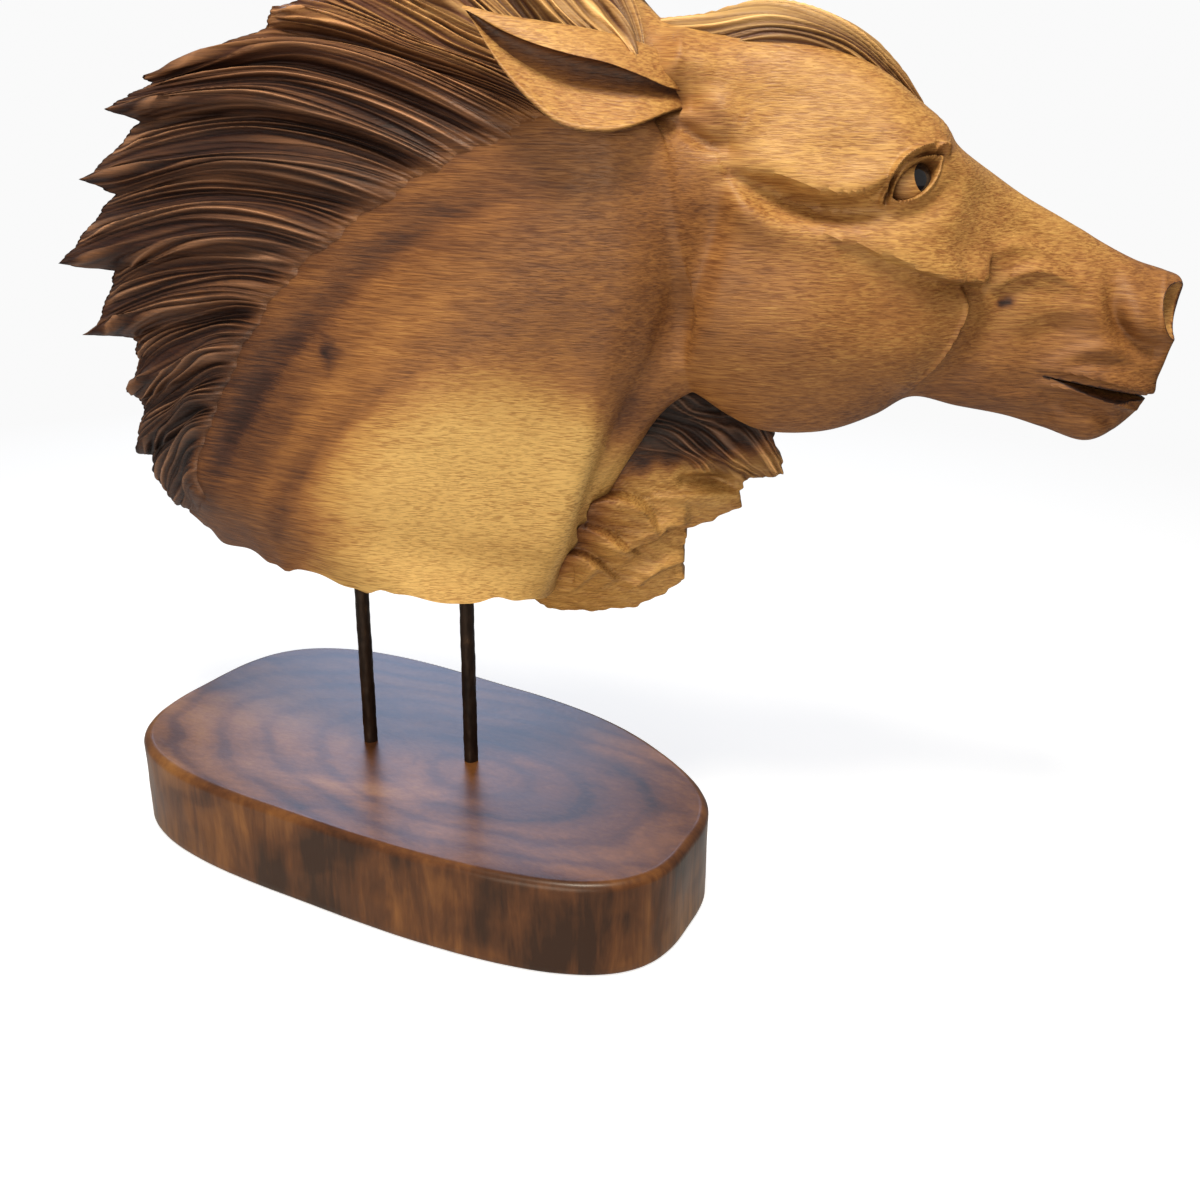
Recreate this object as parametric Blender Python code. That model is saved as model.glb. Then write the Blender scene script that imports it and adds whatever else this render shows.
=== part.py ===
"""Wind-blown horse head carved from one block of brown hardwood, held up by two
steel rods on an oval slab cut from the same wood.

The head is one carved piece. It is drawn on a flat grid first: s runs along the
carving towards the muzzle, w is the height above the underside of the neck and y
the distance to the left of the middle plane. One grid unit is 1 mm at full size.
The flat form is then bent about vertical axes, because the animal turns its head
to its left, and set on the rods. Blender units are metres, +Z is up, and the
origin is the middle of the slab's underside.
"""
import math

import bmesh
import bpy
import numpy as np

# Slab
BASE_LENGTH = 0.340
BASE_WIDTH = 0.186
BASE_THICKNESS = 0.0505
BASE_TOP_ROUNDING = 0.0045
BASE_FOOT_ROUNDING = 0.0015
BASE_SQUARENESS = 2.9
BASE_POINTS = 64
# The plank's natural outline, as (times round the slab, cosine share, sine share)
BASE_WAVES = ((1, -0.060, 0.050), (2, 0.0, -0.045), (3, 0.040, -0.020))

# Rods
ROD_DIAMETER = 0.008
ROD_SPACING = 0.0627
ROD_SIDES = 16
ROD_FIT_GAP = 0.0003
ROD_DEPTH_IN_BASE = 0.030
ROD_DEPTH_IN_NECK = 0.045

# Carving
CARVING_LENGTH = 0.552
STAND_GAP = 0.0995
RODS_BEHIND_DATUM = 0.0043
CARVING_OFFSET_LEFT = 0.0034
HEADING_MANE = 18.0
HEADING_NECK = 9.0
HEADING_HEAD = 26.0
GRID_LENGTH = 552.0
UNIT = CARVING_LENGTH / GRID_LENGTH

# Where the carving's heading changes, on the grid
MANE_TURN = (-160.0, -20.0)
HEAD_TURN = (50.0, 160.0)

# Cross-sections of the face from the lips to the poll: lower point, upper point,
# half-widths at five places from the jaw to the brow, and how blunt the two ends are
FACE = (
    ((345, 117), (351, 160), (8, 14, 17, 18, 10), (0.8, 0.8)),
    ((342, 109), (350, 167), (13, 19, 22, 26, 19), (0.5, 0.5)),
    ((334, 101), (343, 170), (14, 21, 24, 28, 20), (0.45, 0.45)),
    ((321, 95), (330, 174), (15, 22, 25, 28, 19), (0.5, 0.5)),
    ((306, 98), (313, 182), (13, 21, 25, 26, 17), (0.5, 0.5)),
    ((285, 104), (295, 191), (12, 20, 24, 25, 17), (0.5, 0.5)),
    ((262, 108), (277, 200), (13, 23, 27, 27, 18), (0.5, 0.45)),
    ((240, 112), (262, 209), (16, 28, 32, 33, 24), (0.5, 0.4)),
    ((224, 104), (249, 217), (20, 33, 37, 42, 36), (0.5, 0.35)),
    ((206, 97), (236, 227), (23, 35, 39, 46, 41), (0.5, 0.35)),
    ((188, 95), (220, 240), (25, 37, 41, 46, 41), (0.5, 0.35)),
    ((172, 97), (200, 251), (26, 38, 42, 44, 38), (0.5, 0.4)),
    ((158, 104), (177, 258), (26, 38, 41, 42, 35), (0.5, 0.45)),
    ((149, 110), (151, 260), (27, 38, 40, 41, 32), (0.55, 0.5)),
)

# Sections of the neck, which fan out from the throat: throat point, hair line,
# crown of the lock, tip of the lock, depth of the notch after the tip, half-widths
# and how blunt the two ends are
NECK = (
    ((143, 113), (136, 192), (131, 236), (127, 264), 0, (28, 39, 41, 39, 26), (0.6, 0.6)),
    ((139, 111), (124, 238), (112, 264), (97, 289), 8, (30, 42, 44, 32, 12), (0.6, 0.9)),
    ((135, 108), (113, 236), (84, 264), (48, 300), 14, (30, 44, 45, 29, 8), (0.6, 1.1)),
    ((131, 104), (104, 232), (50, 262), (-4, 296), 14, (31, 46, 46, 28, 6), (0.6, 1.2)),
    ((127, 99), (94, 227), (10, 254), (-64, 275), 14, (32, 47, 46, 27, 6), (0.6, 1.3)),
    ((123, 93), (78, 216), (-28, 252), (-137, 245), 15, (33, 48, 46, 26, 5), (0.6, 1.3)),
    ((119, 86), (50, 205), (-52, 232), (-160, 230), 24, (34, 49, 46, 26, 5), (0.6, 1.3)),
    ((114, 78), (24, 192), (-74, 207), (-178, 197), 24, (34, 50, 46, 26, 5), (0.6, 1.3)),
    ((109, 69), (-18, 165), (-100, 172), (-198, 155), 34, (34, 52, 46, 26, 5), (0.6, 1.3)),
    ((104, 59), (-42, 145), (-113, 139), (-188, 119), 26, (34, 54, 46, 26, 5), (0.6, 1.3)),
    ((99, 50), (-62, 122), (-120, 108), (-168, 89), 9, (34, 55, 46, 26, 6), (0.6, 1.2)),
    ((94, 41), (-78, 99), (-126, 79), (-165, 57), 8, (34, 56, 45, 26, 7), (0.6, 1.1)),
    ((89, 33), (-90, 80), (-128, 58), (-153, 41), 5, (34, 56, 44, 26, 9), (0.6, 1.0)),
    ((82, 23), (-94, 50), (-118, 36), (-139, 29), 0, (32, 54, 44, 28, 12), (0.6, 0.8)),
    ((75, 6), (-26, 13), (-84, 15), (-131, 22), 0, (28, 46, 42, 32, 14), (0.6, 0.8)),
)
FIRST_LOCK = len(FACE)
LAST_SECTION = len(FACE) + len(NECK) - 1
NOTCH_PLACE = 0.24
LOCK_RELIEF = 5.0

# Carved strokes on each cheek: path on the grid, radius and height of the stroke
STROKES = (
    # Mass of the brow over the eye
    (((158, 217), (176, 217), (194, 214), (210, 215), (222, 221), (234, 221)), 10.0, 6.0),
    # Hollow behind the eye
    (((162, 206), (174, 200), (186, 196), (199, 195), (214, 196)), 6.0, -8.0),
    # Cheekbone and facial crest
    (((155, 202), (164, 193), (174, 188), (196, 183), (232, 173), (258, 167)), 5.0, 4.0),
    (((214, 170), (236, 164), (258, 159)), 6.0, -3.0),
    # Round of the jaw
    (((170, 140), (190, 148), (214, 146)), 34.0, 5.5),
    # Hollow where the jaw meets the neck
    (((149, 208), (147, 189), (142, 168), (140, 150)), 9.0, -5.0),
    # Hollow in front of the jaw
    (((266, 160), (264, 146), (256, 130), (247, 116)), 8.0, -4.5),
    (((274, 138), (298, 144)), 12.0, -2.5),
    # Hollow behind the nostril and the flare of the nostril
    (((322, 158), (325, 148), (330, 141)), 6.0, -4.5),
    (((342, 164), (344, 150), (342, 138)), 7.0, 2.5),
    # Chin and upper lip
    (((308, 105), (320, 102)), 9.0, 3.0),
    (((318, 128), (342, 122)), 8.0, 2.0),
    # Windpipe groove down the throat
    (((118, 100), (104, 76), (88, 46), (76, 20)), 9.0, -4.0),
    # Broad muscle of the neck
    (((96, 190), (40, 130), (0, 70), (-10, 30)), 34.0, 4.0),
    # Long hollow under the hair line
    (((70, 190), (20, 166), (-36, 120), (-88, 50)), 11.0, -3.0),
)

EYE_PLACE = (226.0, 206.0, 33.5)
EYE_RADIUS = 12.5
NOSTRIL_PLACE = (353.0, 155.0, 13.5)
NOSTRIL_RADII = (13.0, 6.5, 11.0)
NOSTRIL_TURN = 24.0
MOUTH_CORNER = (295.0, 125.0)
MOUTH_FRONT = (344.0, 113.5)
MOUTH_OPENING = 3.6
MOUTH_DEPTH = 9.0

# Ear: middle of the cup from its root to its tip, with its two radii, laid back along
# the neck and opening outwards
EAR_PATH = ((148, 232, 24), (138, 233, 34), (127, 235, 42), (116, 235, 48), (104, 236, 52),
            (93, 239, 55), (82, 248, 57), (72, 257, 58), (63, 266, 58))
EAR_SIZES = ((9, 9), (10, 10), (11, 11), (13, 12), (14, 11), (13, 9), (9, 6), (5, 3), (0.8, 0.6))
EAR_SCOOP = 0.72
EAR_FACING = -20.0

# Forelock lying on the brow
FORELOCK_PATH = ((114, 254, 0), (142, 254, 0), (168, 257, 0), (194, 252, 0), (214, 241, 1),
                 (232, 226, 2), (248, 213, 3))
FORELOCK_SIZES = ((16, 10), (25, 13), (28, 14), (26, 13), (20, 11), (11, 7), (2, 1))

# Rough hair blown forward past the left of the throat: root and edge of each row from
# the jaw down
FRILL = (
    ((138, 108), (180, 106)),
    ((128, 100), (182, 88)),
    ((120, 92), (189, 68)),
    ((114, 86), (169, 64)),
    ((108, 76), (168, 50)),
    ((100, 62), (142, 38)),
    ((94, 48), (141, 24)),
    ((84, 34), (141, 10)),
    ((76, 22), (118, -4)),
    ((68, 14), (92, -9)),
    ((60, 12), (66, -11)),
    ((54, 14), (52, -3)),
)
FRILL_NEAR = -4.0, 17.0
FRILL_FAR = 20.0, 33.0

WOOD_LIGHT = (0.52, 0.30, 0.12)
WOOD_DARK = (0.27, 0.13, 0.06)
STEEL = (0.05, 0.04, 0.035)


def clear_scene():
    for old in list(bpy.data.objects):
        bpy.data.objects.remove(old)


def material(name, colour, roughness, metallic=0.0):
    made = bpy.data.materials.new(name)
    made.use_nodes = True
    shader = made.node_tree.nodes["Principled BSDF"]
    shader.inputs["Base Color"].default_value = (*colour, 1.0)
    shader.inputs["Roughness"].default_value = roughness
    shader.inputs["Metallic"].default_value = metallic
    return made


def eased(x, start, end):
    """0 before start, 1 after end and a smooth rise between them."""
    t = np.clip((x - start) / (end - start), 0.0, 1.0)
    return t * t * (3.0 - 2.0 * t)


def through(values, u):
    """Smooth curve through rows of values, read at places u from 0 to the last row."""
    values = np.asarray(values, float)
    last = len(values) - 1
    u = np.clip(np.asarray(u, float), 0.0, last)
    i = np.minimum(u.astype(int), last - 1)
    f = (u - i).reshape(u.shape + (1,) * (values.ndim - 1))
    before = values[np.maximum(i - 1, 0)]
    a = values[i]
    b = values[i + 1]
    after = values[np.minimum(i + 2, last)]
    slope_a = (b - before) / 2.0
    slope_b = (after - a) / 2.0
    return (
        (2 * f**3 - 3 * f**2 + 1) * a
        + (f**3 - 2 * f**2 + f) * slope_a
        + (3 * f**2 - 2 * f**3) * b
        + (f**3 - f**2) * slope_b
    )


def heading(s):
    """Direction of the carving's middle plane, in radians from +X, at grid places s."""
    mane, neck, head = np.radians((HEADING_MANE, HEADING_NECK, HEADING_HEAD))
    return mane + (neck - mane) * eased(s, *MANE_TURN) + (head - neck) * eased(s, *HEAD_TURN)


def centreline(s):
    """Plan position of the carving's middle plane, in metres, and its heading there."""
    steps = np.arange(-400.0, 501.0)
    turn = heading(steps)
    middle = (turn[1:] + turn[:-1]) / 2.0
    x = np.concatenate(([0.0], np.cumsum(np.cos(middle))))
    y = np.concatenate(([0.0], np.cumsum(np.sin(middle))))
    x = (x - np.interp(0.0, steps, x)) * UNIT
    y = (y - np.interp(0.0, steps, y)) * UNIT + CARVING_OFFSET_LEFT
    return np.interp(s, steps, x), np.interp(s, steps, y), np.interp(s, steps, turn)


def to_world(points):
    """Bends grid points (s, w, y) into place, in metres."""
    points = np.array(points, float)
    x, y, turn = centreline(points[..., 0])
    side = points[..., 2] * UNIT
    height = BASE_THICKNESS + STAND_GAP + points[..., 1] * UNIT
    return np.stack((x - side * np.sin(turn), y + side * np.cos(turn), height), axis=-1)


def section_rows():
    """Every section as five points from the throat or jaw to the crest, with its
    half-widths there and the bluntness of its two ends."""
    rows = []
    for lower, upper, widths, ends in FACE:
        lower, upper = np.array(lower, float), np.array(upper, float)
        line = [lower + (upper - lower) * k / 4.0 for k in range(5)]
        rows.append((line, widths, ends))
    for throat, hair, crown, tip, _, widths, ends in NECK:
        throat, hair = np.array(throat, float), np.array(hair, float)
        line = [throat, (throat + hair) / 2.0, hair, np.array(crown, float), np.array(tip, float)]
        rows.append((line, widths, ends))
    lines = np.array([row[0] for row in rows])
    widths = np.array([row[1] for row in rows], float)
    ends = np.array([row[2] for row in rows], float)
    return lines, widths, ends


def lock_phase(v):
    """Place within a lock, from 0 at one tip to 1 at the next, and 1 where locks are."""
    phase = v - np.floor(v)
    first, last = FIRST_LOCK + 0.5, LAST_SECTION - 3.0
    return phase, eased(v, first, first + 0.5) * (1.0 - eased(v, last, last + 1.0))


def notch(v):
    """Depth of the notches between the locks: none at the tips."""
    phase, present = lock_phase(v)
    fall = np.clip(phase / NOTCH_PLACE, 0.0, 1.0)
    rise = np.clip((1.0 - phase) / (1.0 - NOTCH_PLACE), 0.0, 1.0)
    depths = np.array([row[4] for row in NECK], float)
    row = np.clip(np.floor(v).astype(int) - FIRST_LOCK, 0, len(NECK) - 1)
    return depths[row] * np.minimum(fall, rise**0.6) * present


def lock_height(v, t):
    """How far the locks stand out: each overlaps the next like a shingle."""
    phase, present = lock_phase(v)
    rest = np.clip((phase - NOTCH_PLACE) / (1.0 - NOTCH_PLACE), 0.0, 1.0)
    step = np.where(phase < NOTCH_PLACE, 1.0 - 1.6 * phase / NOTCH_PLACE, 1.6 * rest**0.8 - 0.6)
    return LOCK_RELIEF * step * present * eased(t, 0.5, 0.62) * (1.0 - 0.75 * eased(t, 0.85, 1.0))


def stroke_height(s, w, path, radius, height):
    """Height that one carved stroke adds at grid places s, w."""
    line = through(path, np.linspace(0, len(path) - 1, 4 * len(path)))
    nearest = np.full(np.shape(s), 1e9)
    for a, b in zip(line[:-1], line[1:]):
        along = b - a
        share = ((s - a[0]) * along[0] + (w - a[1]) * along[1]) / (along @ along)
        share = np.clip(share, 0.0, 1.0)
        gap = np.hypot(s - a[0] - share * along[0], w - a[1] - share * along[1])
        nearest = np.minimum(nearest, gap)
    return height * np.exp(-((nearest / radius) ** 2))


def flat_form(v, phi):
    """Grid points of the carving's surface: v counts the sections from the lips, and
    phi runs round each section from the jaw up the right side and down the left."""
    lines, widths, ends = section_rows()
    t = (1.0 - np.cos(phi)) / 2.0
    across = np.abs(np.sin(phi))
    line = through(lines, v)
    width = through(widths, v)
    end = through(ends, v)
    place = np.zeros(v.shape + (2,))
    half = np.zeros(v.shape)
    for k in range(len(v)):
        place[k] = through(line[k], t[k : k + 1] * 4.0)[0]
        half[k] = through(width[k][:, None], t[k : k + 1] * 4.0)[0, 0]
    blunt = end[:, 0] + (end[:, 1] - end[:, 0]) * eased(t, 0.25, 0.75)
    half = half * across**blunt
    back = line[:, 3] - line[:, 4]
    back = back / np.linalg.norm(back, axis=1)[:, None]
    place = place + back * (notch(v) * eased(t, 0.72, 1.0) ** 1.5)[:, None]
    side = np.where(np.sin(phi) >= 0, -1.0, 1.0)
    return np.column_stack((place, half * side)), t


def relief(points, v, t):
    """Height of the carving above its plain form."""
    s, w = points[:, 0], points[:, 1]
    total = lock_height(v, t)
    for path, radius, height in STROKES:
        total = total + stroke_height(s, w, path, radius, height)
    return total * eased(np.abs(points[:, 2]), 2.0, 14.0)


def grid_normals(grid):
    """Outward normals of a grid of rings."""
    along = np.gradient(grid, axis=0)
    ring = (np.roll(grid, -1, axis=1) - np.roll(grid, 1, axis=1)) / 2.0
    normal = np.cross(ring, along)
    length = np.linalg.norm(normal, axis=2, keepdims=True)
    return normal / np.maximum(length, 1e-9)


def ring_faces(rings, count):
    """Quads between neighbouring rings of points."""
    return [
        (k * count + i, k * count + (i + 1) % count, (k + 1) * count + (i + 1) % count,
         (k + 1) * count + i)
        for k in range(rings - 1)
        for i in range(count)
    ]


def folded_cap(start, count):
    """Faces that close a ring whose right and left halves mirror each other."""
    half = count // 2
    faces = [(start, start + 1, start + count - 1)]
    for i in range(1, half - 1):
        faces.append((start + i, start + i + 1, start + count - i - 1, start + count - i))
    faces.append((start + half - 1, start + half, start + half + 1))
    return faces


def mesh_object(name, points, faces):
    mesh = bpy.data.meshes.new(name)
    mesh.from_pydata([tuple(p) for p in points], [], faces)
    shell = bmesh.new()
    shell.from_mesh(mesh)
    bmesh.ops.triangulate(shell, faces=shell.faces)
    bmesh.ops.recalc_face_normals(shell, faces=shell.faces)
    shell.to_mesh(mesh)
    shell.free()
    mesh.shade_smooth()
    made = bpy.data.objects.new(name, mesh)
    bpy.context.scene.collection.objects.link(made)
    return made


def station_places():
    """Where the solid's sections are cut: evenly in the face, and at each lock's tip,
    notch and crown in the mane."""
    face = np.arange(0.0, FIRST_LOCK + 1.0, 0.5)
    locks = [
        section + part
        for section in range(FIRST_LOCK + 1, LAST_SECTION)
        for part in (0.0, NOTCH_PLACE * 0.5, NOTCH_PLACE, 0.6)
    ]
    return np.concatenate((face, locks, [LAST_SECTION]))


def carved_body(points_round=34):
    stations = station_places()
    phi = np.linspace(0.0, 2.0 * math.pi, points_round, endpoint=False)
    v_all, phi_all = np.meshgrid(stations, phi, indexing="ij")
    flat, t = flat_form(v_all.ravel(), phi_all.ravel())
    grid = flat.reshape(len(stations), points_round, 3)
    normals = grid_normals(grid).reshape(-1, 3)
    flat = flat + normals * relief(flat, v_all.ravel(), t)[:, None]
    faces = ring_faces(len(stations), points_round)
    faces += folded_cap(0, points_round)
    faces += folded_cap((len(stations) - 1) * points_round, points_round)
    return mesh_object("horse_head", to_world(flat), faces)


def tapered(name, path, sizes, rings, points_round, facing, scoop=0.0, side=1.0):
    """A closed horn along a curved path on the grid. Its section is an ellipse turned
    by facing degrees, and a scoop hollows the side that faces outwards. Side -1 draws
    it mirrored."""
    u = np.linspace(0.0, len(path) - 1, rings)
    centre = through(path, u)
    size = through(sizes, u)
    ahead = np.gradient(centre, axis=0)
    ahead /= np.linalg.norm(ahead, axis=1)[:, None]
    up = np.array((0.0, math.cos(math.radians(facing)), math.sin(math.radians(facing))))
    up = up - ahead * (ahead @ up)[:, None]
    up /= np.linalg.norm(up, axis=1)[:, None]
    out = np.cross(up, ahead)
    angle = np.linspace(0.0, 2.0 * math.pi, points_round, endpoint=False)
    points = []
    for k in range(rings):
        hollow = scoop * max(0.0, math.sin(math.pi * k / (rings - 1))) ** 0.5
        wide = np.cos(angle) * size[k, 0]
        thick = np.sin(angle) * size[k, 1]
        thick = np.where(thick > 0, thick * (1.0 - 2.0 * hollow), thick)
        points.append(centre[k] + wide[:, None] * up[k] + thick[:, None] * out[k])
    points = np.concatenate(points + [centre[:1], centre[-1:]]) * (1.0, 1.0, side)
    faces = ring_faces(rings, points_round)
    first, last = rings * points_round, rings * points_round + 1
    for i in range(points_round):
        j = (i + 1) % points_round
        faces.append((first, i, j))
        faces.append((last, (rings - 1) * points_round + j, (rings - 1) * points_round + i))
    return mesh_object(name, to_world(points), faces)


def frill(columns=5):
    """A rough slab of hair that spreads from its root to a ragged edge."""
    rows = [r for a, b in zip(FRILL[:-1], FRILL[1:]) for r in (a, tuple(np.add(a, b) / 2.0))]
    rows = np.array(rows + [FRILL[-1]], float)
    out = np.linspace(0.0, 1.0, columns)
    ring = []
    for k, (root, edge) in enumerate(rows):
        line = root + (edge - root) * out[:, None]
        bulge = 2.5 * math.sin(1.9 * k)
        near = FRILL_NEAR[0] + (FRILL_NEAR[1] - FRILL_NEAR[0]) * out + bulge * np.sin(math.pi * out)
        far = FRILL_FAR[0] + (FRILL_FAR[1] - FRILL_FAR[0]) * out**0.6
        ring.append(np.vstack((np.column_stack((line, near)), np.column_stack((line, far))[::-1])))
    points = np.concatenate(ring)
    count = 2 * columns
    faces = ring_faces(len(rows), count)
    for start in (0, (len(rows) - 1) * count):
        faces += [(start + i, start + i + 1, start + count - 2 - i, start + count - 1 - i)
                  for i in range(columns - 1)]
    return mesh_object("frill", to_world(points), faces)


def as_guide(obj):
    obj.hide_render = True
    obj.display_type = "WIRE"
    return obj


def boolean(target, other, operation):
    modifier = target.modifiers.new(other.name, "BOOLEAN")
    modifier.operation = operation
    modifier.object = as_guide(other)


def ball(name, place, radii, turn=0.0, rows=7):
    """An ellipsoid on the grid, turned about the vertical by turn degrees."""
    mesh = bmesh.new()
    bmesh.ops.create_uvsphere(mesh, u_segments=2 * rows, v_segments=rows, radius=1.0)
    round_points = np.array([tuple(v.co) for v in mesh.verts])
    faces = [tuple(v.index for v in f.verts) for f in mesh.faces]
    mesh.free()
    scaled = round_points * np.array(radii)
    c, s = math.cos(math.radians(turn)), math.sin(math.radians(turn))
    along = scaled[:, 0] * c - scaled[:, 1] * s
    across = scaled[:, 0] * s + scaled[:, 1] * c
    points = np.column_stack((along + place[0], scaled[:, 2] + place[1], across + place[2]))
    return mesh_object(name, to_world(points), faces)


def mouth_cutter(side):
    """A thin wedge along the lips. It runs deeper towards the front, where the two
    sides meet."""
    corner, front = np.array(MOUTH_CORNER), np.array(MOUTH_FRONT)
    ahead = (front - corner) / np.linalg.norm(front - corner)
    lift = np.array((-ahead[1], ahead[0])) * MOUTH_OPENING / 2.0
    tip = front + ahead * 14.0
    middle = (corner + tip) / 2.0
    outline = [(corner, 0.0), (middle - lift, 0.5), (tip - lift, 1.0), (tip + lift, 1.0),
               (middle + lift, 0.5)]
    inner = 24.0 - MOUTH_DEPTH
    points = [(p[0], p[1], side * (inner - (inner + 1.0) * u)) for p, u in outline]
    points += [(p[0], p[1], side * 60.0) for p, u in outline]
    count = len(outline)
    faces = [tuple(range(count)), tuple(range(count, 2 * count))]
    faces += [(i, (i + 1) % count, count + (i + 1) % count, count + i) for i in range(count)]
    return mesh_object("mouth_cut_" + ("left" if side > 0 else "right"), to_world(points), faces)


def rod_places():
    """Grid places of the two rods, on the carving's middle line."""
    half = ROD_SPACING / 2.0 / UNIT
    middle = -RODS_BEHIND_DATUM / UNIT
    return {"rear": middle - half, "front": middle + half}


def cylinder(name, radius, bottom, top, x, y, rounding=0.0):
    mesh = bmesh.new()
    bmesh.ops.create_cone(mesh, cap_ends=True, segments=ROD_SIDES, radius1=radius,
                          radius2=radius, depth=top - bottom)
    data = bpy.data.meshes.new(name)
    mesh.to_mesh(data)
    mesh.free()
    made = bpy.data.objects.new(name, data)
    made.location = (x, y, (top + bottom) / 2.0)
    bpy.context.scene.collection.objects.link(made)
    if rounding:
        edge = made.modifiers.new("End rounding", "BEVEL")
        edge.width = rounding
        edge.segments = 2
        edge.limit_method = "ANGLE"
        data.shade_smooth()
        data.set_sharp_from_angle(angle=math.radians(40.0))
    return made


def base_outline(inset):
    """The slab's outline in plan, drawn in by inset."""
    angle = np.linspace(0.0, 2.0 * math.pi, BASE_POINTS, endpoint=False)
    power = 2.0 / BASE_SQUARENESS
    x = (BASE_LENGTH / 2.0 - inset) * np.sign(np.cos(angle)) * np.abs(np.cos(angle)) ** power
    y = (BASE_WIDTH / 2.0 - inset) * np.sign(np.sin(angle)) * np.abs(np.sin(angle)) ** power
    swell = np.ones(BASE_POINTS)
    for times, cosine, sine in BASE_WAVES:
        swell = swell + cosine * np.cos(times * angle) + sine * np.sin(times * angle)
    return np.column_stack((x * swell, y * swell))


def build_base():
    top, foot = BASE_TOP_ROUNDING, BASE_FOOT_ROUNDING
    profile = [(foot, 0.0), (0.0, foot), (0.0, BASE_THICKNESS - top)]
    for step in (1, 2, 3):
        turn = step * math.pi / 6.0
        profile.append((top * (1.0 - math.cos(turn)), BASE_THICKNESS - top * (1.0 - math.sin(turn))))
    points = np.concatenate([
        np.column_stack((base_outline(inset), np.full(BASE_POINTS, height)))
        for inset, height in profile
    ])
    faces = ring_faces(len(profile), BASE_POINTS)
    faces.append(tuple(range(BASE_POINTS)))
    faces.append(tuple(range((len(profile) - 1) * BASE_POINTS, len(profile) * BASE_POINTS)))
    base = mesh_object("base", points, faces)
    base.data.set_sharp_from_angle(angle=math.radians(40.0))
    base.data.materials.append(material("slab_wood", WOOD_DARK, 0.35))
    for name, s in rod_places().items():
        x, y, _ = centreline(s)
        hole = cylinder("base_hole_" + name, ROD_DIAMETER / 2.0 + ROD_FIT_GAP,
                        BASE_THICKNESS - ROD_DEPTH_IN_BASE - ROD_FIT_GAP,
                        BASE_THICKNESS + 0.02, x, y)
        boolean(base, hole, "DIFFERENCE")
    return base


def rod_top():
    return BASE_THICKNESS + STAND_GAP + ROD_DEPTH_IN_NECK


def build_rods():
    steel = material("rod_steel", STEEL, 0.5, 0.9)
    for name, s in rod_places().items():
        x, y, _ = centreline(s)
        rod = cylinder("rod_" + name, ROD_DIAMETER / 2.0, BASE_THICKNESS - ROD_DEPTH_IN_BASE,
                       rod_top(), x, y, rounding=0.0006)
        rod.data.materials.append(steel)


def build_head():
    head = carved_body()
    head.data.materials.append(material("carved_wood", WOOD_LIGHT, 0.55))
    for name, side in (("right", -1.0), ("left", 1.0)):
        boolean(head, tapered("ear_" + name, EAR_PATH, EAR_SIZES, 12, 14, -EAR_FACING, EAR_SCOOP,
                              side), "UNION")
        s, w, y = EYE_PLACE
        boolean(head, ball("eye_" + name, (s, w, side * y), (EYE_RADIUS,) * 3), "UNION")
    boolean(head, tapered("forelock", FORELOCK_PATH, FORELOCK_SIZES, 14, 14, 90.0), "UNION")
    boolean(head, frill(), "UNION")
    for name, side in (("right", -1.0), ("left", 1.0)):
        s, w, y = NOSTRIL_PLACE
        boolean(head, ball("nostril_" + name, (s, w, side * y), NOSTRIL_RADII,
                           side * NOSTRIL_TURN), "DIFFERENCE")
        boolean(head, mouth_cutter(side), "DIFFERENCE")
    for name, s in rod_places().items():
        x, y, _ = centreline(s)
        hole = cylinder("neck_hole_" + name, ROD_DIAMETER / 2.0 + ROD_FIT_GAP,
                        BASE_THICKNESS + 0.02, rod_top() + ROD_FIT_GAP, x, y)
        boolean(head, hole, "DIFFERENCE")
    return head


def main():
    clear_scene()
    build_base()
    build_rods()
    build_head()


main()
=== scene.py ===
"""Looks for the carved horse head on its slab stand: the fine carving of the head,
the hair's strands, the eye, the slab, and their wood and steel."""

from math import cos, pi, radians, sin, tau

import bmesh
import bpy
import numpy as np
from mathutils import Matrix, Vector


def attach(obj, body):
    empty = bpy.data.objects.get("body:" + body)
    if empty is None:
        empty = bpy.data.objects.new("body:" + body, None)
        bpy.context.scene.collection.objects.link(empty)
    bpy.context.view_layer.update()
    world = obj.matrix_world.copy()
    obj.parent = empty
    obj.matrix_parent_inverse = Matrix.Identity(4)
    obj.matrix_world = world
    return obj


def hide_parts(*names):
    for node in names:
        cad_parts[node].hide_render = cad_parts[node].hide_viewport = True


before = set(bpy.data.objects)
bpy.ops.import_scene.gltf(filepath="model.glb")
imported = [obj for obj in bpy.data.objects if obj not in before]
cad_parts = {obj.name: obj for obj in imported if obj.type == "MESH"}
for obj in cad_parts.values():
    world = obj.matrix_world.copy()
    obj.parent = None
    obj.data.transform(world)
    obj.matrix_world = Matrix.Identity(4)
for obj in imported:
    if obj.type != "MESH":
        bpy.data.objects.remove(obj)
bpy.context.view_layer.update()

# The photograph's camera: place, angles in degrees, and a lens as wide as its sensor
CAMERA_PLACE = (0.36997, -0.46722, 0.37192)
CAMERA_DOWN = 21.274
CAMERA_YAW = -29.045
CAMERA_ROLL = 0.750

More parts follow.
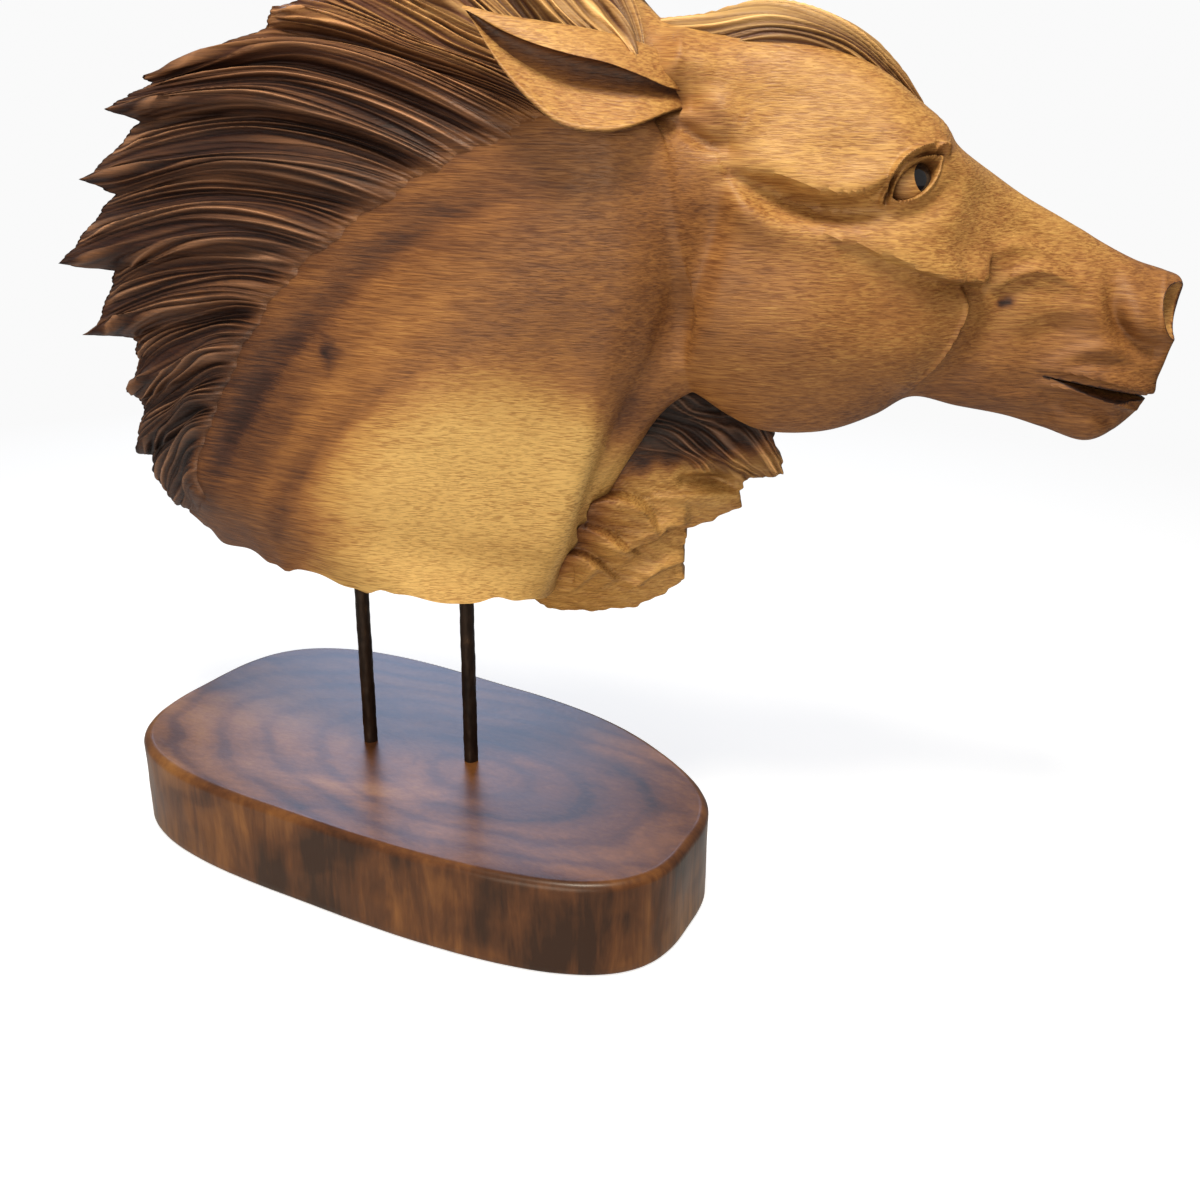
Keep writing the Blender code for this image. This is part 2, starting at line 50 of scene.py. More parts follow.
# Sizes shared with the part's source
BASE_LENGTH = 0.340
BASE_WIDTH = 0.186
BASE_THICKNESS = 0.0505
BASE_TOP_ROUNDING = 0.0045
BASE_FOOT_ROUNDING = 0.0015
BASE_SQUARENESS = 2.9
BASE_WAVES = ((1, -0.060, 0.050), (2, 0, -0.045), (3, 0.040, -0.020))
ROD_DIAMETER = 0.008
ROD_SPACING = 0.0627
ROD_DEPTH_IN_BASE = 0.030
ROD_DEPTH_IN_NECK = 0.045
RODS_BEHIND_DATUM = 0.0043
STAND_GAP = 0.0995
CARVING_OFFSET_LEFT = 0.0034
UNIT = 0.001
HEADING_MANE, HEADING_NECK, HEADING_HEAD = 18, 9, 26
MANE_TURN = (-160, -20)
HEAD_TURN = (50, 160)
# Places along the carving where its bent middle line is worked out
STEPS = np.arange(-400, 501)
RIGHT, LEFT = -1, 1

# Cross-sections of the face from the lips to the poll: lower point, upper point,
# half-widths at five places from the jaw to the brow, and how blunt the two ends are
FACE = (
    ((345, 117), (351, 160), (8, 14, 17, 18, 10), (0.8, 0.8)),
    ((342, 109), (350, 167), (13, 19, 22, 26, 19), (0.5, 0.5)),
    ((334, 101), (343, 170), (14, 21, 24, 28, 20), (0.45, 0.45)),
    ((321, 95), (330, 174), (15, 22, 25, 28, 19), (0.5, 0.5)),
    ((306, 98), (313, 182), (13, 21, 25, 26, 17), (0.5, 0.5)),
    ((285, 104), (295, 191), (12, 20, 24, 25, 17), (0.5, 0.5)),
    ((262, 108), (277, 200), (13, 23, 27, 27, 18), (0.5, 0.45)),
    ((240, 112), (262, 209), (16, 28, 32, 33, 24), (0.5, 0.4)),
    ((224, 104), (249, 217), (20, 33, 37, 42, 36), (0.5, 0.35)),
    ((206, 97), (236, 227), (23, 35, 39, 46, 41), (0.5, 0.35)),
    ((188, 95), (220, 240), (25, 37, 41, 46, 41), (0.5, 0.35)),
    ((172, 97), (200, 251), (26, 38, 42, 44, 38), (0.5, 0.4)),
    ((158, 104), (177, 258), (26, 38, 41, 42, 35), (0.5, 0.45)),
    ((149, 110), (151, 260), (27, 38, 40, 41, 32), (0.55, 0.5)),
)
# Sections of the neck, which fan out from the throat: throat point, hair line,
# crown of the lock, tip of the lock, depth of the notch after the tip, half-widths
# and how blunt the two ends are
NECK = (
    ((143, 113), (136, 192), (131, 236), (127, 264), 0, (28, 39, 41, 39, 26), (0.6, 0.6)),
    ((139, 111), (124, 238), (112, 264), (97, 289), 8, (30, 42, 44, 32, 12), (0.6, 0.9)),
    ((135, 108), (113, 236), (84, 264), (48, 300), 14, (30, 44, 45, 29, 8), (0.6, 1.1)),
    ((131, 104), (104, 232), (50, 262), (-4, 296), 14, (31, 46, 46, 28, 6), (0.6, 1.2)),
    ((127, 99), (94, 227), (10, 254), (-64, 275), 14, (32, 47, 46, 27, 6), (0.6, 1.3)),
    ((123, 93), (78, 216), (-28, 252), (-137, 245), 15, (33, 48, 46, 26, 5), (0.6, 1.3)),
    ((119, 86), (50, 205), (-52, 232), (-160, 230), 24, (34, 49, 46, 26, 5), (0.6, 1.3)),
    ((114, 78), (24, 192), (-74, 207), (-178, 197), 24, (34, 50, 46, 26, 5), (0.6, 1.3)),
    ((109, 69), (-18, 165), (-100, 172), (-198, 155), 34, (34, 52, 46, 26, 5), (0.6, 1.3)),
    ((104, 59), (-42, 145), (-113, 139), (-188, 119), 26, (34, 54, 46, 26, 5), (0.6, 1.3)),
    ((99, 50), (-62, 122), (-120, 108), (-168, 89), 9, (34, 55, 46, 26, 6), (0.6, 1.2)),
    ((94, 41), (-78, 99), (-126, 79), (-165, 57), 8, (34, 56, 45, 26, 7), (0.6, 1.1)),
    ((89, 33), (-90, 80), (-128, 58), (-153, 41), 5, (34, 56, 44, 26, 9), (0.6, 1)),
    ((82, 23), (-94, 50), (-118, 36), (-139, 29), 0, (32, 54, 44, 28, 12), (0.6, 0.8)),
    ((75, 6), (-26, 13), (-84, 15), (-131, 22), 0, (28, 46, 42, 32, 14), (0.6, 0.8)),
)
FIRST_LOCK = len(FACE)
LAST_SECTION = len(FACE) + len(NECK) - 1
NOTCH_PLACE = 0.24
LOCK_RELIEF = 5

# Rows along the face and the neck, columns round them, where the rows lie closer together,
# as (place, reach, extra), at the eye and the lips, and the eye's angle round the section
FACE_ROWS, NECK_ROWS, BODY_COLUMNS = 390, 250, 270
DENSE_ROWS = ((9.4, 0.7, 1.6), (1, 1.4, 0.5))
EYE_COLUMN = 2.30
BODY_TRIANGLES = 195000
MANE_RIGHT_ROWS, MANE_LEFT_ROWS = (1060, 84), (720, 48)
# The steep fold below the ear: its middle and reach along s and along w
EAR_FOLD = ((131, 15), (224, 40))
EVENING_PASSES = 160
MUZZLE_NARROWING = 0.085

# Hair: where it starts round the section, how far the strands sweep along the neck and arch
# at the crown, how wide the bands, the thick strands and the fine ones are, and how far the
# core under the hair stays behind its tips
HAIR_START = 0.487
HAIR_SWEEP, HAIR_ARCH = 12, 7
HAIR_BAND, HAIR_THICK, HAIR_FINE = 27, 4.3, 2.15
CREST_PULL = 9

# Carved strokes: points (s, w, height) on the grid, the reach to the left of the path's
# direction, the reach to its right, and the reach beyond its end
STROKES = (
    # Brow: a smooth mass above, an undercut edge below
    (((161, 208, 2), (173, 207, 4), (185, 202.5, 5.5), (198, 200.5, 6), (208, 202.5, 6),
      (217, 208.5, 5.5), (225, 215, 4.6), (232, 218.5, 3.6), (236, 217, 2)), 12, 1.6, 3.6),
    (((170, 222, 0), (190, 224, 2.5), (212, 224, 2.5), (226, 226, 0)), 14, 10, 9),
    # Hollow under the brow
    (((158, 205, -2), (168, 201.5, -5), (180, 196.5, -7), (194, 193.5, -6.5),
      (207, 194, -4.5), (214, 196.5, -3)), 4.5, 5.5, 3),
    (((206, 193, -0.5), (220, 192, -2.5), (234, 196, -2.5), (243, 205, -1)), 3.5, 6, 4),
    # Cheekbone behind the hollow, and the facial crest
    (((152, 205, 2), (155, 199.5, 4.5), (162, 193.5, 5.5), (171, 188.5, 4.5), (183, 186, 2.5),
      (196, 184, 1.5)), 3, 9, 6),
    (((188, 187, 0.5), (202, 182.5, 2.5), (216, 178.5, 3.5), (232, 172.8, 4.8),
      (246, 168.8, 5.8), (257, 167.2, 6.2), (261, 166.6, 5)), 8, 1.3, 0.9),
    (((226, 171, -0.5), (244, 164.5, -3), (256, 163, -4), (262, 162.5, -3)), 2, 4, 3),
    (((264, 160, -1), (265, 168, -1.8), (262, 176, -0.8)), 4, 4, 4),
    # Round cheek, with a thin rim along its front
    (((168, 138, 4), (188, 146, 5.5), (214, 144, 4)), 34, 34, 30),
    (((251, 164, 1.5), (254, 156, 2.8), (251, 144, 3.2), (246, 133, 3.2), (236, 120, 2)),
     1.6, 14, 4),
    (((252, 163, 0.5), (254.5, 155, 1.2), (251, 144, 1.2), (246, 133, 1.2), (238, 121, 0.6)),
     1, 1.2, 2),
    # Hollow where the jaw meets the neck
    (((152, 214, -1.5), (150, 200, -4), (147, 185, -5.5), (143, 167, -6.5), (139, 149, -6),
      (137, 134, -2.5)), 6, 10, 6),
    # Hollow in front of the cheek
    (((270, 158, -3.5), (267, 144, -4), (260, 130, -3.5), (249, 117, -2)), 9, 8, 6),
    (((276, 138, -2), (298, 144, -2.5)), 12, 12, 10),
    # Edge of the nose's flat top
    (((236, 216, 1.5), (254, 207, 2), (278, 195, 1.8), (304, 184, 1.2)), 5, 7, 8),
    # Veins and folds on the muzzle
    (((268, 163, 0.8), (276, 168, 2.2), (285, 169.5, 2.6), (293, 167.5, 2.2), (302, 163, 0.8)),
     3.4, 1.2, 2),
    (((272, 160, -0.6), (284, 163, -1.2), (296, 160, -0.6)), 1.6, 3.4, 3),
    (((262, 176, 0.4), (272, 180, 1.4), (286, 178, 1.4), (300, 173, 0.6)), 3, 3, 4),
    (((268, 190, 0), (284, 182, -1.2), (300, 173, -1.2)), 4, 4, 4),
    (((280, 148, 0.3), (296, 154, 0.9), (312, 152, 0.4)), 4, 3, 4),
    (((286, 141, -0.4), (300, 146, -0.7), (312, 143, -0.4)), 3, 3, 3),
    (((298, 132, 0.5), (310, 138, 1.8), (324, 138, 1.6), (336, 134, 0.8)), 2.6, 3.4, 4),
    (((302, 129, -0.3), (314, 132, -0.9), (328, 131, -0.7)), 2, 2, 3),
    # Nostril: the hollow behind it and the tube of its wing
    (((318, 166, -2), (319.5, 156, -6.5), (323, 147, -8), (330, 140, -6.5), (340, 137, -4)),
     4.6, 5, 4),
    (((326, 168, 0.8), (331, 160, 1.2), (333, 151, 1.2), (338, 145, 0.6)), 5.5, 6.5, 5),
    (((341.5, 168, 0.4), (340, 161, 0.7), (339, 153, 0.7), (340, 146, 0.5), (344, 142, 0.3)),
     2, 1.4, 2),
    # Lips, chin and the jaw's lower edge
    (((294, 127.8, 0.8), (307, 127.4, 2.2), (321, 124.4, 2.8), (340, 119.4, 2.4), (347, 118, 1.6)),
     4, 0.9, 4),
    (((294, 122, 0.8), (308, 120.5, 2.4), (321, 117, 2.8), (337, 111.5, 2.2)), 1.1, 1.7, 3),
    (((298, 116.5, -1), (312, 112, -2.2), (326, 107, -1.8)), 2.4, 2.6, 3),
    (((306, 105, 2.5), (319, 101, 3.2), (329, 104, 1.5)), 7, 8, 6),
    (((292, 112, -0.5), (300, 106, -2), (303, 100, -1.5)), 3.5, 3.5, 3.5),
    (((262, 118, 0.8), (284, 114, 1.6), (297, 112, 1)), 4, 5, 3),
    # Neck: front edge and the groove before it, the broad muscle and the hollow under
    # the hair line
    (((124, 190, 0.5), (113, 148, 2), (104, 114, 3.4), (97, 82, 3.6), (88, 42, 3), (82, 18, 2)),
     7, 11, 6),
    (((135, 158, -1), (128, 131, -3.5), (118, 108, -4.5), (106, 79, -4.5), (95, 48, -4),
      (84, 14, -3)), 8, 5, 5),
    (((90, 180, 2), (40, 130, 3.5), (0, 74, 3.5), (-10, 34, 2)), 34, 34, 20),
    (((84, 200, -1.5), (44, 186, -3), (0, 158, -3.5), (-42, 124, -3.5), (-80, 80, -2.5)),
     8, 13, 10),
    # Muscle in front of the ear's root, the rise to the root, the press of the ear on the
    # hair, the undercut below it, and the forehead's swelling along the forelock
    (((142, 237, 1.5), (149, 231, 4.2), (157, 226, 2)), 8, 6, 6),
    (((166, 240, 1), (156, 242, 2.6), (147, 244, 4.4), (139, 245, 6.4), (131, 246, 8)), 6.5, 12, 7),
    (((108, 236, -8), (120, 235, -8), (130, 235, -7), (137, 235, -2.5)), 5.5, 4.5, 3),
    (((128, 228, -2), (136, 224, -4), (144, 219, -4.2), (151, 218, -2)), 3, 3.6, 4),
    (((134, 254, 2), (160, 254, 2.8), (186, 251, 3), (208, 242, 3), (226, 231, 2), (240, 221, 1)),
     9, 15, 6),
)

# Eye, nostril and mouth on the grid: the eye's opening leans by its turn, in degrees; the
# mouth cut's inner end and the lower lip's edge lie this far from the middle plane, at the
# corner and in front
EYE_MIDDLE = (226.4, 205.8)
EYE_TURN = 39
EYE_HALF_SIZES = (10.8, 5.3)
EYE_RADIUS = 10.5
EYE_SUNK = -0.9
IRIS_MIDDLE = (233.6, 208)
IRIS_HALF_ANGLE = 36
NOSTRIL_PLACE = (350.5, 155, 21.5)
NOSTRIL_RADII = (12, 13, 13.5)
MOUTH_CORNER = (294.5, 124.9)
MOUTH_FRONT = (346, 115)
MOUTH_OPENING = 1.9
MOUTH_BEYOND = 14
MOUTH_DEPTH = (10, -2)
LIP_EDGE = (20.5, 10)
LIP_SLOPE = 0.75
MOUTH_OUTSIDE = 45

# Ear from the root to the tip: the top of the band above the hollow, the hollow's upper and
# lower rims, and how deep the ear's back and its hollow lie behind the rims
EAR_TOP = ((144, 248, 12), (136, 250, 22), (129, 251, 29), (120, 254, 35), (110, 257, 40),
           (98, 259.5, 46), (86, 261.5, 52), (75, 263.5, 56), (65, 266.5, 57.8), (62, 267, 58))
EAR_UPPER = ((144, 236, 16), (136, 237.5, 29), (129, 239, 40), (120, 243, 47), (110, 247, 51),
             (98, 250, 55), (86, 254, 58), (75, 259, 59), (65, 265, 58.5), (62, 267, 58))
EAR_LOWER = ((144, 232, 16), (136, 231.5, 31), (129, 229, 45), (120, 224.5, 56), (110, 222, 61),
             (98, 224, 64), (87, 233, 63), (76, 246, 61), (67, 260, 59), (62, 267, 58))
EAR_BACK = (9, 12, 14, 17, 20, 20, 16, 10, 3, 0.4)
EAR_HOLLOW = (0.5, 3, 8, 13.5, 16.5, 16.5, 12.5, 7, 1.5, 0.1)

# Forelock: its middle line (s, w, y), and its half-width and half-height there
FORELOCK_PATH = ((112, 256, 0), (142, 256, 0), (168, 259, 0), (194, 254, 0), (214, 243, 1),
                 (232, 228, 2), (250, 213, 3))
FORELOCK_SIZES = ((14, 10), (24, 13), (28, 14), (26, 13), (20, 11), (11, 7), (1, 1))

# Hair under the jaw: where each strip leaves the throat and where it ends
FRILL = (
    ((140, 118), (181, 110)),
    ((128, 103), (182, 88)),
    ((120, 92), (189, 68)),
    ((114, 86), (169, 64)),
    ((108, 76), (168, 50)),
    ((100, 62), (142, 38)),
    ((94, 48), (141, 24)),
    ((84, 34), (141, 10)),
    ((76, 22), (118, -4)),
    ((68, 14), (92, -9)),
    ((60, 12), (66, -11)),
    ((54, 14), (52, -3)),
)
# Gouge marks on the frill: the crest of each step, its height, and its reach below the
# crest and above it
GOUGES = (
    (((92, 55, 4), (104, 59.5, 7), (114, 58.5, 8), (122, 52, 7), (127, 42, 3)), 1.3, 15, 3),
    (((96, 45, 4), (107, 38.5, 6.5), (116, 29, 3.5)), 1.2, 10, 2.5),
    (((82, 29, 3), (90, 29.5, 5.5), (98, 25, 6), (106, 15, 3)), 1.2, 11, 2.5),
    (((112, 31, 3), (127, 36.5, 4.5), (133, 42, 5), (141, 43, 4)), 9, 1.2, 2),
    (((140, 66, -3), (154, 65.5, -4.5), (162, 63, -2)), 3, 3.5, 3),
    (((126, 58, 1.5), (146, 59, 2.5), (166, 58, 1)), 1.5, 7, 3),
    (((118, 10, 2), (128, 18, 3), (140, 22, 2)), 6, 1.4, 2),
    (((84, 6, 1), (92, 14, 2), (99, 22, 1)), 3, 1.6, 2),
)

# Tone of the wood, 0 dark heartwood to 1 pale sapwood: zones (s, w, two reaches, turn, tone),
# and the tone away from them, with its small weight
PLAIN_TONE, PLAIN_WEIGHT = 0.35, 0.02
ZONES = (
    (42, 62, 62, 40, 12, 1),
    (185, 238, 60, 26, -22, 0.70),
    (110, 250, 40, 20, 8, 0.66),
    (205, 190, 45, 12, -18, 0.72),
    (190, 140, 44, 42, 0, 0.54),
    (250, 200, 40, 20, -30, 0.62),
    (292, 170, 34, 26, -20, 0.62),
    (322, 135, 40, 40, 0, 0.50),
    (278, 196, 30, 10, -30, 0.76),
    (280, 112, 60, 12, 5, 0.34),
    (92, 180, 46, 46, 0, 0.42),
    (20, 140, 70, 26, 40, 0.42),
    (-50, 80, 60, 22, 52, 0.28),
    (-70, 40, 50, 18, 10, 0.32),
    (-62, 92, 22, 30, 20, 0.22),
    (122, 108, 14, 40, 20, 0.40),
)
PLAIN_RIDGE = 0.35
EAR_TONE = 0.66
# Tone of the hair from the poll round the fan to its lower end
MANE_TONES = (0.80, 0.84, 0.84, 0.74, 0.56, 0.38, 0.27, 0.24, 0.25, 0.27, 0.26, 0.22, 0.18, 0.16,
              0.24)
# Growth bands and marks: points (s, w, change of tone) and the two reaches
BANDS = (
    (((84, 206, -0.10), (40, 186, -0.16), (0, 160, -0.18), (-40, 124, -0.18), (-76, 82, -0.16),
      (-98, 44, -0.10)), 6, 9),
    (((66, 166, 0.05), (22, 138, 0.10), (-16, 106, 0.12), (-46, 72, 0.12), (-66, 40, 0.08)), 7, 5),
    (((60, 140, -0.04), (22, 116, -0.10), (-12, 88, -0.12), (-38, 58, -0.12), (-54, 32, -0.08)),
     3, 6),
    (((-15, 128, -0.55), (-13, 127, -0.75), (-11, 126, -0.55)), 2.4, 2.4),
    (((-21, 132, -0.10), (-13, 133, -0.20), (-5, 128, -0.10)), 1.6, 1.6),
    (((272, 156, -0.6), (275, 157, -0.6)), 1.7, 1.7),
    (((100, 110, 0.10), (92, 70, 0.14), (84, 24, 0.08)), 6, 4),
    (((118, 108, -0.20), (106, 79, -0.18), (95, 48, -0.14)), 6, 4),
)
WOOD_COLOURS = (
    (0, (0.022, 0.009, 0.007)), (0.14, (0.062, 0.023, 0.013)), (0.34, (0.200, 0.077, 0.024)),
    (0.55, (0.390, 0.168, 0.045)), (0.76, (0.620, 0.340, 0.096)), (1, (0.800, 0.510, 0.165)))
GRAIN_TURN = 12

# Brightness of the backdrop, the floor's glow near the object and its paint, and how far
# from the object the floor has faded into the backdrop
BACKDROP = 0.955
FLOOR_GLOW = 0.64
FLOOR_PALE = 0.70
FLOOR_REACH = 1.2


def eased(x, start, end):
    t = np.clip((x - start) / (end - start), 0, 1)
    return t * t * (3 - 2 * t)


def wave(x):
    return np.sin(tau * x)


def bell(x, reach):
    return np.exp(-((x / reach) ** 2))


def turned(s, w, middle, turn):
    """Distances from a middle point along and across a direction that leans by turn degrees."""
    c, n = cos(radians(turn)), sin(radians(turn))
    s, w = s - middle[0], w - middle[1]
    return s * c + w * n, w * c - s * n


def through(values, u):
    """Smooth curve through rows of values, read at places u from 0 to the last row."""
    values = np.asarray(values, float)
    last = len(values) - 1
    u = np.clip(np.asarray(u, float), 0, last)
    i = np.minimum(u.astype(int), last - 1)
    f = (u - i).reshape(u.shape + (1,) * (values.ndim - 1))
    before, a = values[np.maximum(i - 1, 0)], values[i]
    b, after = values[i + 1], values[np.minimum(i + 2, last)]
    slope_a, slope_b = (b - before) / 2, (after - a) / 2
    return ((2 * f**3 - 3 * f**2 + 1) * a + (f**3 - 2 * f**2 + f) * slope_a
            + (3 * f**2 - 2 * f**3) * b + (f**3 - f**2) * slope_b)


def heading(s):
    """Direction of the middle line at s, in radians."""
    mane, neck, head = np.radians((HEADING_MANE, HEADING_NECK, HEADING_HEAD))
    return mane + (neck - mane) * eased(s, *MANE_TURN) + (head - neck) * eased(s, *HEAD_TURN)


def centreline(s):
    """Place of the middle line at s, in metres, and its direction."""
    turn = heading(STEPS)
    middle = (turn[1:] + turn[:-1]) / 2
    x = np.concatenate(([0], np.cumsum(np.cos(middle))))
    y = np.concatenate(([0], np.cumsum(np.sin(middle))))
    x = (x - np.interp(0, STEPS, x)) * UNIT
    y = (y - np.interp(0, STEPS, y)) * UNIT + CARVING_OFFSET_LEFT
    return np.interp(s, STEPS, x), np.interp(s, STEPS, y), np.interp(s, STEPS, turn)


def to_world(points):
    """Bends grid points (s, w, y) into place, in metres."""
    points = np.array(points, float)
    x, y, turn = centreline(points[..., 0])
    side = points[..., 2] * UNIT
    height = BASE_THICKNESS + STAND_GAP + points[..., 1] * UNIT
    return np.stack((x - side * np.sin(turn), y + side * np.cos(turn), height), axis=-1)


def section_rows():
    """The tables as arrays: five points, half-widths, bluntness and notch depth of each."""
    lines, widths, ends, depths = [], [], [], []
    for lower, upper, width, end in FACE:
        lower, upper = np.array(lower, float), np.array(upper, float)
        lines.append([lower + (upper - lower) * k / 4 for k in range(5)])
        widths.append(width)
        ends.append(end)
        depths.append(0)
    for throat, hair, crown, tip, depth, width, end in NECK:
        throat, hair = np.array(throat, float), np.array(hair, float)
        lines.append([throat, (throat + hair) / 2, hair, np.array(crown, float),
                      np.array(tip, float)])
        widths.append(width)
        ends.append(end)
        depths.append(depth)
    return [np.array(part, float) for part in (lines, widths, ends, depths)]


LINES, WIDTHS, ENDS, DEPTHS = section_rows()


def fan_place(v):
    """Distance round the mane's fan on the grid, along the locks' crowns."""
    fine = np.linspace(FIRST_LOCK, LAST_SECTION, 900)
    crown = through(LINES[:, 3], fine)
    steps = np.hypot(*np.diff(crown, axis=0).T)
    return np.interp(v, fine, np.concatenate(([0], np.cumsum(steps))))


def fan_rows(number):
    """Section places spread evenly round the fan, a little denser at its lower end."""
    fine = np.linspace(FIRST_LOCK, LAST_SECTION, 900)
    share = fan_place(fine) / fan_place(LAST_SECTION) + (fine - FIRST_LOCK) / 14
    return np.interp(np.linspace(0, share[-1], number), share, fine)


def dense_places(start, end, number, spots):
    """Places from start to end, closer together at the spots (place, reach, extra)."""
    fine = np.linspace(start, end, 4000)
    density = np.ones_like(fine)
    for place, reach, extra in spots:
        density += extra * bell(fine - place, reach)
    total = np.concatenate(([0], np.cumsum((density[1:] + density[:-1]) / 2)))
    return np.interp(np.linspace(0, total[-1], number), total, fine)


def lock_phase(v):
    phase = v - np.floor(v)
    first, last = FIRST_LOCK + 0.9, LAST_SECTION - 3
    return phase, eased(v, first, first + 0.6) * (1 - eased(v, last, last + 1))


def notch(v):
    """How far the mane's edge is cut back between two locks."""
    phase, present = lock_phase(v)
    fall = np.clip(phase / NOTCH_PLACE, 0, 1)
    rise = np.clip((1 - phase) / (1 - NOTCH_PLACE), 0, 1)
    row = np.clip(np.floor(v).astype(int), 0, LAST_SECTION)
    return DEPTHS[row] * np.minimum(fall, rise**0.6) * present


def lock_height(v, t):
    """Each lock rises after the notch and sinks towards the next one."""
    phase, present = lock_phase(v)
    rest = np.clip((phase - NOTCH_PLACE) / (1 - NOTCH_PLACE), 0, 1)
    step = np.where(phase < NOTCH_PLACE, 1 - 1.6 * phase / NOTCH_PLACE, 1.6 * rest**0.8 - 0.6)
    return LOCK_RELIEF * step * present * eased(t, 0.5, 0.62) * (1 - 0.75 * eased(t, 0.85, 1))


def in_mane(v):
    """1 where the neck carries hair, 0 at the fan's two ends."""
    first, last = FIRST_LOCK + 0.25, LAST_SECTION - 0.6
    return eased(v, first, first + 0.85) * (1 - eased(v, last - 0.9, last))


def under_ear(s, w):
    """How far a point lies under the ear, where the hair is pressed flat."""
    return bell(s - 118, 34) * bell(w - 236 - 0.22 * (118 - s), 15)


def strands(q, t, shift):
    """Height of the hair's strands, and how much a point lies on a ridge, from 0 to 1."""
    q = (q + 2.6 * wave(0.9 * t + q / 61 + shift) + 1.2 * wave(1.7 * t - q / 23 + shift)
         + 0.3 * wave(3.3 * t + q / 9))
    band = wave(q / HAIR_BAND + 0.24 * wave(1.1 * t + shift + q / 90))
    thick = np.abs(np.sin(pi * (q / HAIR_THICK + 0.2 * wave(q / 19 + 1.3 * t))))
    thick = (1 - thick) ** 0.8
    fine = np.abs(np.sin(pi * (q / HAIR_FINE + 0.25 * wave(q / 7.3 + 1.5 * t))))
    keep = 0.66 + 0.34 * wave(q / 16.3 + 1.5 * t + shift)
    height = 1.4 * band + 2.6 * keep * thick + 0.7 * fine - 1.5
    ridge = 0.12 + 0.12 * band + 0.62 * keep * thick + 0.22 * fine
    return height, np.clip(ridge, 0, 1)


def stroke_height(s, w, path, reach_left, reach_right, reach_end=None):
    """Height that one carved stroke adds, with its own reach on each side of the path."""
    path = np.asarray(path, float)
    line = through(path, np.linspace(0, len(path) - 1, 5 * len(path)))
    widest = 2.6 * max(reach_left, reach_right)
    near = ((s > line[:, 0].min() - widest) & (s < line[:, 0].max() + widest)
            & (w > line[:, 1].min() - widest) & (w < line[:, 1].max() + widest))
    total = np.zeros(np.shape(s))
    s, w = s[near], w[near]
    nearest = np.full(s.shape, 1e9)
    side, height, past = np.zeros(s.shape), np.zeros(s.shape), np.zeros(s.shape)
    for k, (a, b) in enumerate(zip(line[:-1], line[1:])):
        along = b[:2] - a[:2]
        length = np.hypot(*along)
        raw = ((s - a[0]) * along[0] + (w - a[1]) * along[1]) / length**2
        share = np.clip(raw, 0, 1)
        ds, dw = s - a[0] - share * along[0], w - a[1] - share * along[1]
        gap = np.hypot(ds, dw)
        closer = gap < nearest
        nearest = np.where(closer, gap, nearest)
        side = np.where(closer, along[0] * dw - along[1] * ds, side)
        height = np.where(closer, a[2] + (b[2] - a[2]) * share, height)
        over = np.maximum(raw - 1, 0) * length if k == len(line) - 2 else 0 * raw
        past = np.where(closer, over, past)
    reach = np.where(side > 0, reach_left, reach_right)
    across = np.sqrt(np.maximum(nearest**2 - past**2, 0))
    total[near] = height * bell(across, reach) * bell(past, reach_end or reach_left)
    return total


def eye_height(s, w):
    """The eye's opening with its two lids, and the fold over the upper one."""
    along, across = turned(s, w, EYE_MIDDLE, EYE_TURN)
    long, wide = EYE_HALF_SIZES
    half = wide * np.clip(1 - (along / long) ** 2, 0, 1) ** 0.7
    beyond = np.abs(along) - long
    gap = np.where(beyond < 0, np.abs(across) - half, np.hypot(beyond, across))
    upper = eased(across, -1.5, 2)
    socket = -7.5 * (1 - eased(gap, -0.9, 0.1))
    lid = 2 * bell(gap - 0.9, 0.95) * (0.65 + 0.35 * upper)
    groove = -2.2 * bell(gap - 2.6, 0.8) * upper
    fold = 2.6 * bell(gap - 4.2, 1.2) * upper
    return socket + lid + groove + fold


def relief(s, w, strokes):
    """Height that carved strokes add together."""
    return sum(stroke_height(s, w, *stroke) for stroke in strokes)


def tone_at(s, w):
    """Tone of the wood on the carving's sides, from 0, dark, to 1, pale."""
    weight = np.full(np.shape(s), PLAIN_WEIGHT)
    total = weight * PLAIN_TONE
    for cs, cw, reach_s, reach_w, turn, tone in ZONES:
        along, across = turned(s, w, (cs, cw), turn)
        share = bell(along, reach_s) * bell(across, reach_w)
        total, weight = total + share * tone, weight + share
    return np.clip(total / weight + relief(s, w, BANDS), 0, 1)


def hair_tone(v):
    last = len(MANE_TONES) - 1
    return through(np.array(MANE_TONES), (v - FIRST_LOCK) * last / (LAST_SECTION - FIRST_LOCK))


def ring_faces(rings, count):
    k, i = np.meshgrid(np.arange(rings - 1), np.arange(count), indexing="ij")
    j = (i + 1) % count
    return np.stack((k * count + i, k * count + j, (k + 1) * count + j, (k + 1) * count + i),
                    axis=-1).reshape(-1, 4).tolist()


def folded_cap(start, count):
    """Faces across a flat ring, joining its two halves."""
    half = count // 2
    faces = [(start, start + 1, start + count - 1)]
    for i in range(1, half - 1):
        faces.append((start + i, start + i + 1, start + count - i - 1, start + count - i))
    faces.append((start + half - 1, start + half, start + half + 1))
    return faces


def end_fans(rings, count):
    """Faces that close both ends of a stack of rings, to the two points listed after it."""
    first = rings * count
    fans = []
    for i in range(count):
        j = (i + 1) % count
        fans += [(first, j, i), (first + 1, first - count + i, first - count + j)]
    return fans


def linked(name, data):
    made = bpy.data.objects.new(name, data)
    bpy.context.scene.collection.objects.link(made)
    return made


